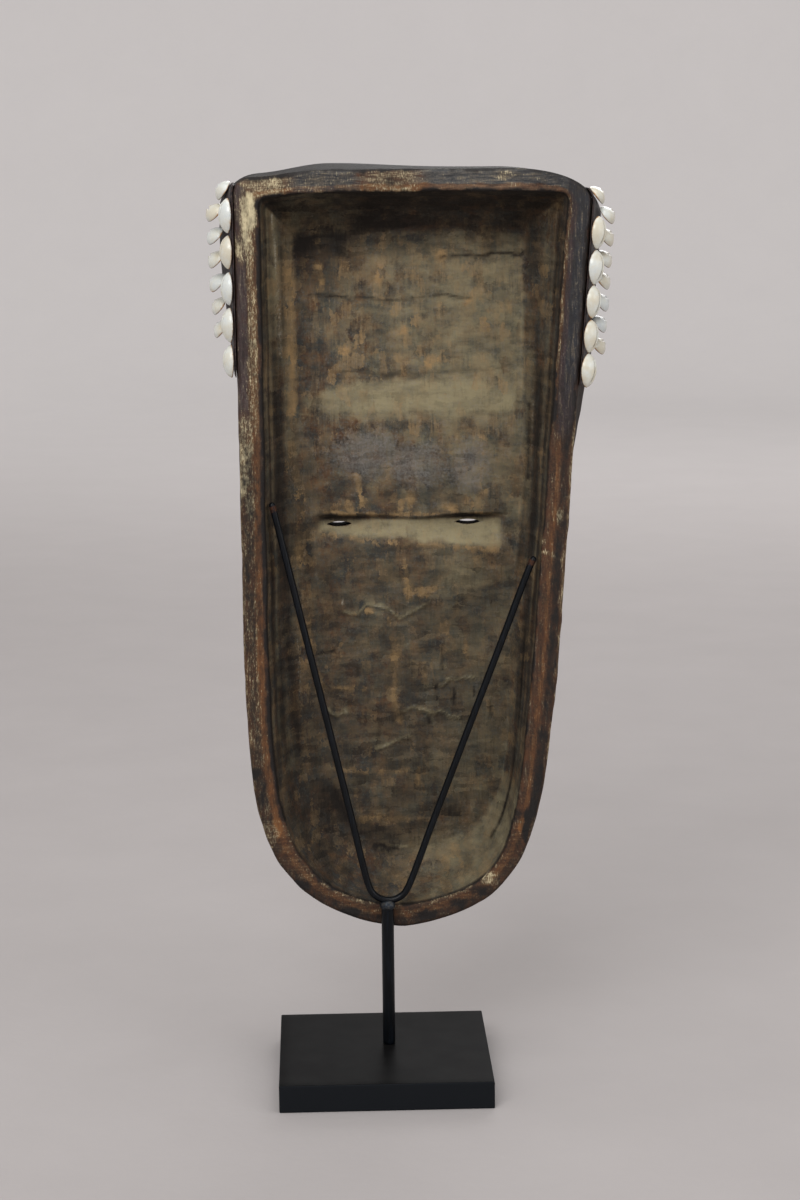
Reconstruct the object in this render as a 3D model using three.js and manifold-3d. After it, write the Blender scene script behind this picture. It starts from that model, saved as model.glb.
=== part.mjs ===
// A carved wooden face mask on its display stand, seen from behind in the reference view.
//
// Frame: millimetres, +Z up, origin at the centre of the underside of the base block.
// The carved face looks towards -Y; the open hollow back looks towards +Y.
// "Left" is the +X side and "right" is the -X side, as seen from behind.

import * as THREE from "three";
import { mergeVertices } from "three/addons/utils/BufferGeometryUtils.js";
import Module from "manifold-3d";

const wasm = await Module();
wasm.setup();

// Air left between two pieces that rest against each other
const GAP = 0.35;

// Base block, post and cradle
const BASE_WIDTH = 140;
const BASE_HEIGHT = 18.3;
const BASE_EASE = 0.9;
const POST_DIAMETER = 8.3;
const POST_X = -3.6;
const POST_Y = -7.1;
const ROD_DIAMETER = 4.6;
const CRADLE_X = -4.6;
const CRADLE_BOTTOM_Z = 118.6;
const CRADLE_BEND_RADIUS = 13.8;
const CRADLE_LEAN_IN = 10.5;
const CRADLE_LEAN_FROM_Z = 126.6;
const CRADLE_LEAN_RISE = 265;
const ARM_LEFT = { side: 1, lean: 13.06, topZ: 382, hook: [0.2, 5] };
const ARM_RIGHT = { side: -1, lean: 21.1, topZ: 343, hook: [0.8, 5.5] };

// Mask outline on the plane of its rim
const RIM_Y = POST_Y - POST_DIAMETER / 2 - GAP;
const MASK_CHIN_Z = 98.3;
const MASK_TOP_Z = 601.4;
const MASK_CHIN_X = -15.3;
const MIDDLE_X = -13;
const MIDDLE_LEAN = 0.0235;
const MIDDLE_Z = 340;
const JAW_HEIGHT = 55;
const WIDENING_HEIGHT = 500;
const OUTER_LEFT = { width: 104.2, widening: 0, curl: 36.5, power: 1.55 };
const OUTER_RIGHT = { width: 90.3, widening: 36.2, curl: 32.4, power: 1.5 };
const OUTER_CORNER_LEFT = { across: 9, down: 9, slope: 4, slopeSpan: 45 };
const OUTER_CORNER_RIGHT = { across: 57, down: 22, slope: 0, slopeSpan: 1 };

// Side walls: they flare outwards on the way forward to the face
const WIDEST_DEPTH = 36;
const EDGE_DEPTH = 46;
const FLARE_POWER = 1.4;
const FLARE_TURN_IN = 0.2;
const FLARE_LEFT = { low: 1, high: 8.6, from: 450, to: 560, corner: 14 };
const FLARE_RIGHT = { low: 3, high: 8.6, from: 400, to: 470, corner: 12 };
const CROWN_RISE = 3.2;
const CROWN_DROP = 0.1;
const CROWN_X = 28;
const CROWN_SPREAD = 50;
const CHIN_LIFT = 9;
const CHIN_LIFT_FROM = 12;

// Hollow of the back
const HOLLOW_DEPTH = 54;
const HOLLOW_LEFT = { width: 88.2, widening: 0, curl: 34, power: 1.85 };
const HOLLOW_RIGHT = { width: 72.3, widening: 39.3, curl: 24, power: 1.6 };
const HOLLOW_CHIN_Z = 113.5;
const HOLLOW_TOP_Z = 587;
const HOLLOW_CORNER_LEFT = { across: 5, down: 5, slope: 2.6, slopeSpan: 24 };
const HOLLOW_CORNER_RIGHT = { across: 8, down: 5, slope: 1.4, slopeSpan: 36 };
const FLOOR_LEFT = { low: 55, high: 65, from: 330, to: 430 };
const FLOOR_RIGHT = { low: 74.5, high: 83.5, from: 280, to: 400 };
const FLOOR_CHIN_Z = 136;
const FLOOR_TOP_Z = 558;
const FLOOR_SAG = 2;
const HOLLOW_STEPS = [[0.8, 0.62], [0.45, 0.2], [0, 0]];
const OPENING_CUT = 5;

// Eyes: a trough across the inside and a slit through it for each eye
const EYE_Z = 363.8;
const EYE_SPACING = 87;
const SLIT_LENGTH = 16.5;
const SLIT_HEIGHT = 3.4;
const SLIT_CUT_FROM = 40;
const SLIT_CUT_LENGTH = 60;
const TROUGH_LEFT_X = 39;
const TROUGH_RIGHT_X = -86;
const TROUGH_TOP_Z = 371;
const TROUGH_BOTTOM_Z = 350;
const TROUGH_DEPTH = 7;
const TROUGH_ABOVE = 1.4;
const TROUGH_EDGE_RISE = 3.4;
const TROUGH_LEDGE_DROP = 2.4;

// Face: heights of its features above the base underside, depths forward of the rim plane
const FACE_DEPTHS = [[110, 60], [160, 69], [230, 75], [365, 80.5], [460, 84], [530, 82], [600, 70]];
const SHOULDER = { across: 2.4, acrossPower: 0.55, up: 5, upPower: 0.6 };
const BROW = { z: 392, arch: 27, from: -12, span: 126, proud: 3, width: 11, edge: 11, end: 106, fade: 16 };
const CHEEK = { depth: 10, overhang: 18, fromZ: 176, toZ: 290, outer: 101, inner: 74 };
const NOSE = { rootZ: 392, tipZ: 212, rootHalf: 8, tipHalf: 17, rootHeight: 11, tipHeight: 22, under: 13 };
const MOUTH = { z: 156, half: 25, rise: 11, proud: 8, parting: 3, partingHalf: 3 };
const LID = { half: 21, rise: 9, proud: 3.4 };
const CREST = { half: 9, edge: 4, from: 446, fade: 14, proud: 3.4 };

// Temple bands and the cowrie shells sewn on them
const BAND_THICKNESS = 1.3;
const BAND_BACK_DEPTH = 0.6;
const BAND_LIFT = 0.6;
const BAND_FRONT_DEPTH = 40;
const BAND_ROWS = 18;
const BAND_ROW_POWER = 1.4;
const BAND_LEFT_Z = [470, 592];
const BAND_RIGHT_Z = [461, 587];
const COWRIE_LENGTH = 22.4;
const COWRIE_WIDTH = 14.2;
const COWRIE_HEIGHT = 6.4;
const COWRIE_BACK = 0.28;
const COWRIE_TAPER = 0.1;
const COWRIE_CROWN_POWER = 0.85;
const COWRIE_SIZE = 0.97;
const COWRIE_SIZE_SPREAD = 0.03;
const EDGE_ROW_LEFT = { lowZ: 479.8, highZ: 573, count: 5, turn: 10 };
const EDGE_ROW_RIGHT = { lowZ: 470.9, highZ: 559.6, count: 5, turn: 30 };
const EDGE_ROW_DEPTH = 4.8;
const OUTER_ROW_LEFT = { lowZ: 498.9, highZ: 573.6, count: 6, topZ: 586.5 };
const OUTER_ROW_RIGHT = { lowZ: 484.7, highZ: 569.2, count: 7, topZ: 580 };
const OUTER_ROW_DEPTH = 28;
const OUTER_ROW_DROOP = 36;
const OUTER_ROW_TOP_DROOP = 6;

// Mesh fineness
const FACE_COLUMNS = [0, 0.04, 0.08, 0.12, 0.16, 0.21, 0.28, 0.36, 0.45, 0.55, 0.66, 0.77, 0.87, 0.95, 1];
const FACE_ROWS = [[0.08, 5], [0.26, 14], [0.49, 9], [0.67, 18], [0.94, 7], [1, 5]];
const SIDE_DEPTHS = [36, 24, 12, 0];
const HOLLOW_COLUMNS = [0, 0.2, 0.4, 0.6, 0.78, 0.92, 1];
const HOLLOW_ROWS = [[1, 22]];
const ARM_POINTS = 5;
const BEND_POINTS = 6;

const paint = (color, roughness, metalness = 0) =>
  new THREE.MeshStandardMaterial({ color, roughness, metalness });
const wood = paint(0x6b5a45, 0.75);
const leather = paint(0x2f2a2e, 0.8);
const shell = paint(0xe9e8dd, 0.25);
const blackSteel = paint(0x1d1f22, 0.4, 0.3);
const blackBoard = paint(0x232426, 0.45);

const lerp = (a, b, t) => a + (b - a) * t;
const clamp = (t, low = 0, high = 1) => Math.min(high, Math.max(low, t));

function smooth(from, to, value) {
  const t = clamp((value - from) / (to - from));
  return t * t * (3 - 2 * t);
}

function along(table, z) {
  const next = table.findIndex(([height]) => height > z);
  if (next === 0) return table[0][1];
  if (next < 0) return table[table.length - 1][1];
  const [z0, a] = table[next - 1];
  const [z1, b] = table[next];
  return lerp(a, b, smooth(z0, z1, z));
}

// Centre line of the face, which leans a little to the right on its way up
const midline = (z) => MIDDLE_X - MIDDLE_LEAN * (z - MASK_CHIN_Z);

// How far a curved chin has opened at a height above its lowest point, from 0 to 1
const opening = (rise, form) => (1 - Math.exp(-Math.max(rise, 0) / form.curl)) ** (1 / form.power);
const openingHeight = (part, form) => -form.curl * Math.log(1 - Math.min(part, 0.9999) ** form.power);

// An outline has a left and a right side, a curved chin and a top edge with rounded corners.
// widthLeft and widthRight give the half width at a height, forms give the curve of the chin.
function outline({ chinZ, topZ, widthLeft, widthRight, formLeft, formRight, cornerLeft, cornerRight, crown }) {
  const jawZ = chinZ + JAW_HEIGHT;
  const sides = [
    { sign: 1, width: widthLeft, form: formLeft, corner: cornerLeft },
    { sign: -1, width: widthRight, form: formRight, corner: cornerRight },
  ];
  for (const one of sides) {
    one.shoulderTop = topZ - one.corner.slope;
    one.reach = (z) => {
      const t = clamp((z - (one.shoulderTop - one.corner.down)) / one.corner.down);
      const cut = one.corner.across * (1 - Math.sqrt(1 - t * t));
      return one.width(z) * opening(z - chinZ, one.form) - cut;
    };
    one.x = (z) => MASK_CHIN_X + one.sign * one.reach(z);
    one.shoulderZ = one.shoulderTop - one.corner.down * (1 - Math.SQRT1_2);
    one.fullReach = one.width(topZ) * opening(topZ - chinZ, one.form);
    one.top = (x) => {
      const inside = one.fullReach - one.sign * (x - MASK_CHIN_X);
      const t = clamp(1 - inside / one.corner.across);
      const slope = one.corner.slope * smooth(one.corner.slopeSpan, 0, inside - one.corner.across);
      return topZ - slope - one.corner.down * (1 - Math.sqrt(1 - t * t)) + crown(x);
    };
    one.bottom = (x) => {
      const part = Math.abs(x - MASK_CHIN_X) / one.width(jawZ);
      return chinZ + openingHeight(part, one.form);
    };
  }
  return { jawZ, left: sides[0], right: sides[1] };
}

// A point of the area inside an outline: u runs from -1 (right) to 1 (left), v from chin to top
function inside(area, u, v) {
  const side = u >= 0 ? area.left : area.right;
  const t = Math.abs(u);
  const lowX = lerp(MASK_CHIN_X, side.x(area.jawZ), t);
  const highX = lerp(midline(side.shoulderTop), side.x(side.shoulderZ), t);
  const z = lerp(side.bottom(lowX), side.top(highX), v);
  const sideX = side.x(lerp(area.jawZ, side.shoulderZ, v));
  const middleX = lerp(MASK_CHIN_X, midline(side.shoulderTop), v);
  return [lerp(middleX, sideX, t), z];
}

const flareShape = (depth) =>
  depth < WIDEST_DEPTH
    ? (Math.max(depth, 0) / WIDEST_DEPTH) ** FLARE_POWER
    : 1 - FLARE_TURN_IN * ((depth - WIDEST_DEPTH) / (EDGE_DEPTH - WIDEST_DEPTH)) ** 2;

const flare = (zone, z, depth) => lerp(zone.low, zone.high, smooth(zone.from, zone.to, z)) * flareShape(depth);

const widening = (side, z) => (side.widening * (z - MASK_CHIN_Z)) / WIDENING_HEIGHT;

function outerOutline(depth) {
  const rise = clamp(depth / WIDEST_DEPTH);
  const lift = clamp((depth - CHIN_LIFT_FROM) / (EDGE_DEPTH - CHIN_LIFT_FROM)) ** 2;
  const rounder = (corner, zone) => ({
    ...corner,
    across: corner.across + zone.corner * rise,
    down: corner.down + zone.corner * rise,
  });
  return outline({
    chinZ: MASK_CHIN_Z + CHIN_LIFT * lift,
    topZ: MASK_TOP_Z,
    widthLeft: (z) => OUTER_LEFT.width + flare(FLARE_LEFT, z, depth),
    widthRight: (z) =>
      OUTER_RIGHT.width + widening(OUTER_RIGHT, z) + flare(FLARE_RIGHT, z, depth),
    formLeft: OUTER_LEFT,
    formRight: OUTER_RIGHT,
    cornerLeft: rounder(OUTER_CORNER_LEFT, FLARE_LEFT),
    cornerRight: rounder(OUTER_CORNER_RIGHT, FLARE_RIGHT),
    crown: (x) =>
      rise * ((CROWN_RISE + CROWN_DROP) * Math.exp(-(((x - CROWN_X) / CROWN_SPREAD) ** 2)) - CROWN_DROP),
  });
}

// The hollow narrows from its mouth at the rim to its floor
function hollowOutline(narrowing) {
  const mouth = (side, z) => side.width + widening(side, z);
  const floor = (side, z) => lerp(side.low, side.high, smooth(side.from, side.to, z));
  return outline({
    chinZ: lerp(HOLLOW_CHIN_Z, FLOOR_CHIN_Z, narrowing),
    topZ: lerp(HOLLOW_TOP_Z, FLOOR_TOP_Z, narrowing),
    widthLeft: (z) => lerp(mouth(HOLLOW_LEFT, z), floor(FLOOR_LEFT, z), narrowing),
    widthRight: (z) => lerp(mouth(HOLLOW_RIGHT, z), floor(FLOOR_RIGHT, z), narrowing),
    formLeft: HOLLOW_LEFT,
    formRight: HOLLOW_RIGHT,
    cornerLeft: HOLLOW_CORNER_LEFT,
    cornerRight: HOLLOW_CORNER_RIGHT,
    crown: () => 0,
  });
}

const dome = (a, b) => Math.sqrt(Math.max(1 - a * a - b * b, 0));

// How much of the full depth is reached at a place, which falls away towards the edge of the face
function shoulderAt(u, v) {
  const across = (1 - Math.abs(u) ** SHOULDER.across) ** SHOULDER.acrossPower;
  return across * (1 - Math.abs(2 * v - 1) ** SHOULDER.up) ** SHOULDER.upPower;
}

// Depth of the carved face forward of the rim plane
function faceDepth(u, v, x, z) {
  const across = Math.abs(x - midline(z));
  const shoulder = shoulderAt(u, v);
  let depth = EDGE_DEPTH + (along(FACE_DEPTHS, z) - EDGE_DEPTH) * shoulder;

  const browZ = BROW.z + BROW.arch * Math.sin(Math.PI * clamp((across - BROW.from) / BROW.span));
  const underBrow = smooth(browZ + 4, browZ + 4 - CHEEK.overhang, z);
  const cheek = underBrow * smooth(CHEEK.fromZ, CHEEK.toZ, z) * smooth(CHEEK.outer, CHEEK.inner, across);
  const browFoot = smooth(browZ - BROW.edge, browZ, z);
  const browTop = smooth(browZ + BROW.width + BROW.edge, browZ + BROW.width, z);
  const brow = browFoot * browTop * smooth(BROW.end, BROW.end - BROW.fade, across);
  depth += BROW.proud * brow - CHEEK.depth * cheek;

  const eyeAcross = across - EYE_SPACING / 2;
  depth += LID.proud * dome(eyeAcross / LID.half, (z - EYE_Z) / LID.rise);

  const lips = dome(across / MOUTH.half, (z - MOUTH.z) / MOUTH.rise);
  const parting = smooth(MOUTH.partingHalf, 0, Math.abs(z - MOUTH.z));
  depth += lips * (MOUTH.proud - MOUTH.parting * parting);

  const down = clamp((NOSE.rootZ - z) / (NOSE.rootZ - NOSE.tipZ));
  const half = lerp(NOSE.rootHalf, NOSE.tipHalf, down);
  const reach = smooth(NOSE.tipZ - NOSE.under, NOSE.tipZ, z) * underBrow;
  const ridge = smooth(half * 1.25, half * 0.35, across);
  depth += lerp(NOSE.rootHeight, NOSE.tipHeight, down) * reach * ridge;

  const crest = smooth(CREST.half + CREST.edge, CREST.half - CREST.edge, across);
  return depth + CREST.proud * crest * smooth(CREST.from, CREST.from + CREST.fade, z) * shoulder;
}

// Shared vertices without normals or texture coordinates, ready to be joined or cut
function bare(geometry) {
  const copy = geometry.index ? geometry.clone() : mergeVertices(geometry.clone());
  copy.deleteAttribute("normal");
  copy.deleteAttribute("uv");
  return mergeVertices(copy, 1e-4);
}

function toSolid(geometry) {
  const merged = bare(geometry);
  return new wasm.Manifold(
    new wasm.Mesh({
      numProp: 3,
      vertProperties: new Float32Array(merged.attributes.position.array),
      triVerts: new Uint32Array(merged.index.array),
    }),
  );
}

function toGeometry(solid) {
  const mesh = solid.getMesh();
  const geometry = new THREE.BufferGeometry();
  geometry.setAttribute("position", new THREE.Float32BufferAttribute(mesh.vertProperties, 3));
  geometry.setIndex(new THREE.Uint32BufferAttribute(mesh.triVerts, 1));
  geometry.computeVertexNormals();
  return geometry;
}

// A closed body from a stack of loops of equal length, with a grid of points closing one end
// and a fan closing the other. The loops run round the edge of the grid.
function closedBody(grid, columns, rows, loops, fanCentre) {
  const positions = grid.flat();
  const index = [];
  const at = (i, j) => j * (columns + 1) + i;
  const edge = [];
  for (let i = 0; i < columns; i++) edge.push(at(i, 0));
  for (let j = 0; j < rows; j++) edge.push(at(columns, j));
  for (let i = columns; i > 0; i--) edge.push(at(i, rows));
  for (let j = rows; j > 0; j--) edge.push(at(0, j));
  for (let j = 0; j < rows; j++) {
    for (let i = 0; i < columns; i++) {
      index.push(at(i, j), at(i + 1, j), at(i + 1, j + 1), at(i, j), at(i + 1, j + 1), at(i, j + 1));
    }
  }
  let previous = edge;
  for (const loop of loops) {
    const start = positions.length / 3;
    positions.push(...loop.flat());
    const current = loop.map((_, k) => start + k);
    for (let k = 0; k < loop.length; k++) {
      const next = (k + 1) % loop.length;
      index.push(previous[next], previous[k], current[k], previous[next], current[k], current[next]);
    }
    previous = current;
  }
  const centre = positions.length / 3;
  positions.push(...fanCentre);
  for (let k = 0; k < previous.length; k++) {
    index.push(previous[(k + 1) % previous.length], previous[k], centre);
  }
  const geometry = new THREE.BufferGeometry();
  geometry.setAttribute("position", new THREE.Float32BufferAttribute(positions, 3));
  geometry.setIndex(index);
  return geometry;
}

const mirrored = (columns) => [...columns.slice(1).reverse().map((u) => -u), ...columns];

// Heights of the rows of a grid, from 0 to 1: each zone says where it ends and how many rows it has
function rowHeights(zones) {
  const heights = [0];
  for (const [end, count] of zones) {
    const start = heights[heights.length - 1];
    for (let j = 1; j <= count; j++) heights.push(lerp(start, end, j / count));
  }
  return heights;
}

// Where the edge of a grid runs: along the chin, up the left, back along the top, down the right
function edgePlaces(us, vs) {
  const places = [];
  const last = us.length - 1;
  const top = vs.length - 1;
  for (let i = 0; i < last; i++) places.push([us[i], 0]);
  for (let j = 0; j < top; j++) places.push([1, vs[j]]);
  for (let i = last; i > 0; i--) places.push([us[i], 1]);
  for (let j = top; j > 0; j--) places.push([-1, vs[j]]);
  return places;
}

function loopAt(area, y, places) {
  return places.map(([u, v]) => {
    const [x, z] = inside(area, u, v);
    return [x, y, z];
  });
}

function gridOver(area, us, vs, depthAt) {
  const points = [];
  for (const v of vs) {
    for (const u of us) {
      const [x, z] = inside(area, u, v);
      points.push([x, RIM_Y - depthAt(u, v, x, z), z]);
    }
  }
  return points;
}

function maskBlock() {
  const us = mirrored(FACE_COLUMNS);
  const vs = rowHeights(FACE_ROWS);
  const places = edgePlaces(us, vs);
  const face = gridOver(outerOutline(EDGE_DEPTH), us, vs, faceDepth);
  const loops = SIDE_DEPTHS.map((depth) => loopAt(outerOutline(depth), RIM_Y - depth, places));
  return closedBody(face, us.length - 1, vs.length - 1, loops, [midline(MIDDLE_Z), RIM_Y, MIDDLE_Z]);
}

function hollowBlock() {
  const us = mirrored(HOLLOW_COLUMNS);
  const vs = rowHeights(HOLLOW_ROWS);
  const places = edgePlaces(us, vs);
  const sag = (u, v) => HOLLOW_DEPTH + FLOOR_SAG * (1 - u * u) * (1 - (2 * v - 1) ** 4);
  const floor = gridOver(hollowOutline(1), us, vs, sag);
  const loops = HOLLOW_STEPS.map(([part, narrowing]) =>
    loopAt(hollowOutline(narrowing), RIM_Y - HOLLOW_DEPTH * part, places),
  );
  const outsideY = RIM_Y + OPENING_CUT;
  loops.push(loopAt(hollowOutline(0), outsideY, places));
  return closedBody(floor, us.length - 1, vs.length - 1, loops, [midline(MIDDLE_Z), outsideY, MIDDLE_Z]);
}

// The trough has a steep upper edge and a sloping lower ledge, and its ends run out
function troughBlock() {
  const floorY = RIM_Y - HOLLOW_DEPTH;
  const profile = new THREE.Shape();
  profile.moveTo(floorY + TROUGH_ABOVE, TROUGH_TOP_Z);
  profile.lineTo(floorY - TROUGH_DEPTH, EYE_Z + TROUGH_EDGE_RISE);
  profile.lineTo(floorY - TROUGH_DEPTH, EYE_Z - TROUGH_LEDGE_DROP);
  profile.lineTo(floorY - FLOOR_SAG / 2, TROUGH_BOTTOM_Z);
  profile.lineTo(floorY + TROUGH_ABOVE, TROUGH_BOTTOM_Z - 1);
  const length = TROUGH_LEFT_X - TROUGH_RIGHT_X;
  const geometry = new THREE.ExtrudeGeometry(profile, { depth: length, bevelEnabled: false });
  const toWorld = new THREE.Matrix4().makeBasis(
    new THREE.Vector3(0, 1, 0),
    new THREE.Vector3(0, 0, 1),
    new THREE.Vector3(1, 0, 0),
  );
  geometry.applyMatrix4(toWorld);
  geometry.translate(TROUGH_RIGHT_X, 0, 0);
  return geometry;
}

function slitBlock(side) {
  const half = SLIT_LENGTH / 2;
  const lens = new THREE.Shape();
  lens.moveTo(-half, 0);
  lens.quadraticCurveTo(0, SLIT_HEIGHT, half, 0);
  lens.quadraticCurveTo(0, -SLIT_HEIGHT, -half, 0);
  const options = { depth: SLIT_CUT_LENGTH, bevelEnabled: false, curveSegments: 5 };
  const geometry = new THREE.ExtrudeGeometry(lens, options);
  geometry.rotateX(Math.PI / 2);
  geometry.translate(midline(EYE_Z) + (side * EYE_SPACING) / 2, RIM_Y - SLIT_CUT_FROM, EYE_Z);
  return geometry;
}

function maskGeometry() {
  let solid = toSolid(maskBlock()).subtract(toSolid(hollowBlock()));
  solid = solid.subtract(toSolid(troughBlock()));
  for (const side of [1, -1]) solid = solid.subtract(toSolid(slitBlock(side)));
  return toGeometry(solid);
}

// A point on the side wall, lifted off it by a thickness, with its outward direction
function onTemple(side, z, depth, lift) {
  const step = 1.5;
  const forwardX = templeX(side, z, depth + step) - templeX(side, z, depth - step);
  const upX = templeX(side, z + step, depth) - templeX(side, z - step, depth);
  const forward = new THREE.Vector3(forwardX, -2 * step, 0).normalize();
  const up = new THREE.Vector3(upX, 0, 2 * step).normalize();
  const out = new THREE.Vector3().crossVectors(up, forward).multiplyScalar(side).normalize();
  const point = new THREE.Vector3(templeX(side, z, depth), RIM_Y - depth, z).addScaledVector(out, lift);
  return { point, out, forward, up };
}

function templeX(side, z, depth) {
  const area = outerOutline(depth);
  return (side > 0 ? area.left : area.right).x(z);
}

// A strap of leather that lies on the side wall from the rim forward
function bandGeometry(side, [lowZ, highZ]) {
  const depths = [BAND_BACK_DEPTH, ...SIDE_DEPTHS.toReversed().slice(1), BAND_FRONT_DEPTH];
  const rows = BAND_ROWS;
  const columns = depths.length - 1;
  const layer = (lift) => {
    const points = [];
    for (let j = 0; j <= rows; j++) {
      for (let i = 0; i <= columns; i++) {
        const z = lerp(highZ, lowZ, (1 - j / rows) ** BAND_ROW_POWER);
        points.push(onTemple(side, z, depths[i], lift).point.toArray());
      }
    }
    return points;
  };
  const outer = layer(BAND_LIFT + BAND_THICKNESS);
  const inner = layer(BAND_LIFT);
  const at = (i, j, k) => k * outer.length + j * (columns + 1) + i;
  const index = [];
  const quad = (a, b, c, d) => index.push(a, b, c, a, c, d);
  for (let j = 0; j < rows; j++) {
    for (let i = 0; i < columns; i++) {
      quad(at(i, j, 0), at(i + 1, j, 0), at(i + 1, j + 1, 0), at(i, j + 1, 0));
      quad(at(i, j, 1), at(i, j + 1, 1), at(i + 1, j + 1, 1), at(i + 1, j, 1));
    }
    quad(at(0, j, 0), at(0, j + 1, 0), at(0, j + 1, 1), at(0, j, 1));
    quad(at(columns, j, 0), at(columns, j, 1), at(columns, j + 1, 1), at(columns, j + 1, 0));
  }
  for (let i = 0; i < columns; i++) {
    quad(at(i, 0, 0), at(i, 0, 1), at(i + 1, 0, 1), at(i + 1, 0, 0));
    quad(at(i, rows, 0), at(i + 1, rows, 0), at(i + 1, rows, 1), at(i, rows, 1));
  }
  if (side > 0) index.reverse();
  const geometry = new THREE.BufferGeometry();
  geometry.setAttribute("position", new THREE.Float32BufferAttribute([...outer, ...inner].flat(), 3));
  geometry.setIndex(index);
  geometry.computeVertexNormals();
  return geometry;
}

// A cowrie with its back cut flat: an egg shape, fuller towards one end, flat below.
// Its length runs along local Y and its mouth looks along local Z.
function cowrieGeometry() {
  const geometry = bare(new THREE.SphereGeometry(1, 8, 6));
  const position = geometry.attributes.position;
  for (let k = 0; k < position.count; k++) {
    const along = position.getY(k);
    const width = (COWRIE_WIDTH / 2) * (1 + COWRIE_TAPER * along);
    const up = position.getZ(k);
    const share = up > 0 ? 1 - COWRIE_BACK : COWRIE_BACK;
    const height = COWRIE_BACK + Math.sign(up) * Math.abs(up) ** COWRIE_CROWN_POWER * share;
    position.setXYZ(k, position.getX(k) * width, (along * COWRIE_LENGTH) / 2, COWRIE_HEIGHT * height);
  }
  geometry.computeVertexNormals();
  return geometry;
}

// Sews a cowrie on the band: upright by the rim with its mouth turned a little to the back,
// or lying with its length forward and its lower edge swung out from the band
function cowrie(name, side, z, depth, lying, swing, size) {
  const angle = THREE.MathUtils.degToRad(swing);
  const overBand = Math.min(COWRIE_WIDTH / 2, depth - BAND_BACK_DEPTH);
  const lift = BAND_LIFT + BAND_THICKNESS + GAP + overBand * Math.sin(angle);
  const { point, out, forward, up } = onTemple(side, z, depth, lift);
  const length = lying ? forward.clone().negate() : up.clone();
  const mouth = out.clone().applyAxisAngle(lying ? forward : up, side * angle);
  const across = new THREE.Vector3().crossVectors(length, mouth).normalize();
  const mesh = new THREE.Mesh(cowrieGeometry(), shell.clone());
  mesh.name = name;
  mesh.applyMatrix4(new THREE.Matrix4().makeBasis(across, length, mouth).setPosition(point));
  mesh.scale.multiplyScalar(size);
  mesh.updateMatrixWorld();
  return mesh;
}

function cowrieRow(sideName, side, rowName, { lowZ, highZ, count, turn, topZ }) {
  const row = new THREE.Group();
  const add = (k, z, depth, swing) => {
    const size = COWRIE_SIZE + COWRIE_SIZE_SPREAD * Math.sin(2.3 * k + side);
    const name = `cowrie_${sideName}_${rowName}_${row.children.length + 1}`;
    row.add(cowrie(name, side, z, depth, depth === OUTER_ROW_DEPTH, swing, size));
  };
  if (topZ) add(count, topZ, OUTER_ROW_DEPTH, OUTER_ROW_TOP_DROOP);
  for (let k = 0; k < count; k++) {
    const z = lerp(highZ, lowZ, k / (count - 1));
    if (topZ) add(k, z, OUTER_ROW_DEPTH, OUTER_ROW_DROOP);
    else add(k, z, EDGE_ROW_DEPTH, turn);
  }
  return row;
}

function baseGeometry() {
  const half = BASE_WIDTH / 2 - BASE_EASE;
  const square = new THREE.Shape();
  square.moveTo(-half, -half);
  square.lineTo(half, -half);
  square.lineTo(half, half);
  square.lineTo(-half, half);
  square.closePath();
  const geometry = new THREE.ExtrudeGeometry(square, {
    depth: BASE_HEIGHT - 2 * BASE_EASE,
    bevelThickness: BASE_EASE,
    bevelSize: BASE_EASE,
    bevelSegments: 2,
  });
  geometry.translate(0, 0, BASE_EASE);
  return bare(geometry);
}

function postGeometry() {
  const low = BASE_HEIGHT + GAP;
  const high = CRADLE_BOTTOM_Z - ROD_DIAMETER / 2 - GAP;
  const geometry = new THREE.CylinderGeometry(POST_DIAMETER / 2, POST_DIAMETER / 2, high - low, 20);
  geometry.rotateX(Math.PI / 2);
  geometry.translate(POST_X, POST_Y, (low + high) / 2);
  return bare(geometry);
}

// One rod bent to a rounded V; each arm leans outwards and a little into the hollow
class CradleCurve extends THREE.Curve {
  constructor() {
    super();
    this.points = [...armPoints(ARM_RIGHT).reverse(), ...bendPoints(), ...armPoints(ARM_LEFT)];
    this.path = new THREE.CatmullRomCurve3(this.points, false, "centripetal");
  }

  getPoint(t, target = new THREE.Vector3()) {
    return this.path.getPoint(t, target);
  }
}

const cradleY = (z) => POST_Y - CRADLE_LEAN_IN * clamp((z - CRADLE_LEAN_FROM_Z) / CRADLE_LEAN_RISE);

function armPoints({ side, lean, topZ, hook }) {
  const angle = THREE.MathUtils.degToRad(lean);
  const startX = CRADLE_X + side * CRADLE_BEND_RADIUS * Math.cos(angle);
  const startZ = CRADLE_BOTTOM_Z + CRADLE_BEND_RADIUS * (1 - Math.sin(angle));
  const points = [];
  for (let k = 1; k <= ARM_POINTS; k++) {
    const z = lerp(startZ, topZ, k / ARM_POINTS);
    points.push(new THREE.Vector3(startX + side * (z - startZ) * Math.tan(angle), cradleY(z), z));
  }
  const end = points[points.length - 1];
  const tipX = end.x + side * (hook[0] + hook[1] * Math.tan(angle));
  points.push(new THREE.Vector3(tipX, cradleY(end.z + hook[1]), end.z + hook[1]));
  return points;
}

function bendPoints() {
  const points = [];
  const from = Math.PI + THREE.MathUtils.degToRad(ARM_RIGHT.lean);
  const to = 2 * Math.PI - THREE.MathUtils.degToRad(ARM_LEFT.lean);
  for (let k = 0; k <= BEND_POINTS; k++) {
    const turn = lerp(from, to, k / BEND_POINTS);
    const x = CRADLE_X + CRADLE_BEND_RADIUS * Math.cos(turn);
    const z = CRADLE_BOTTOM_Z + CRADLE_BEND_RADIUS * (1 + Math.sin(turn));
    points.push(new THREE.Vector3(x, cradleY(z), z));
  }
  return points;
}

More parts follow.
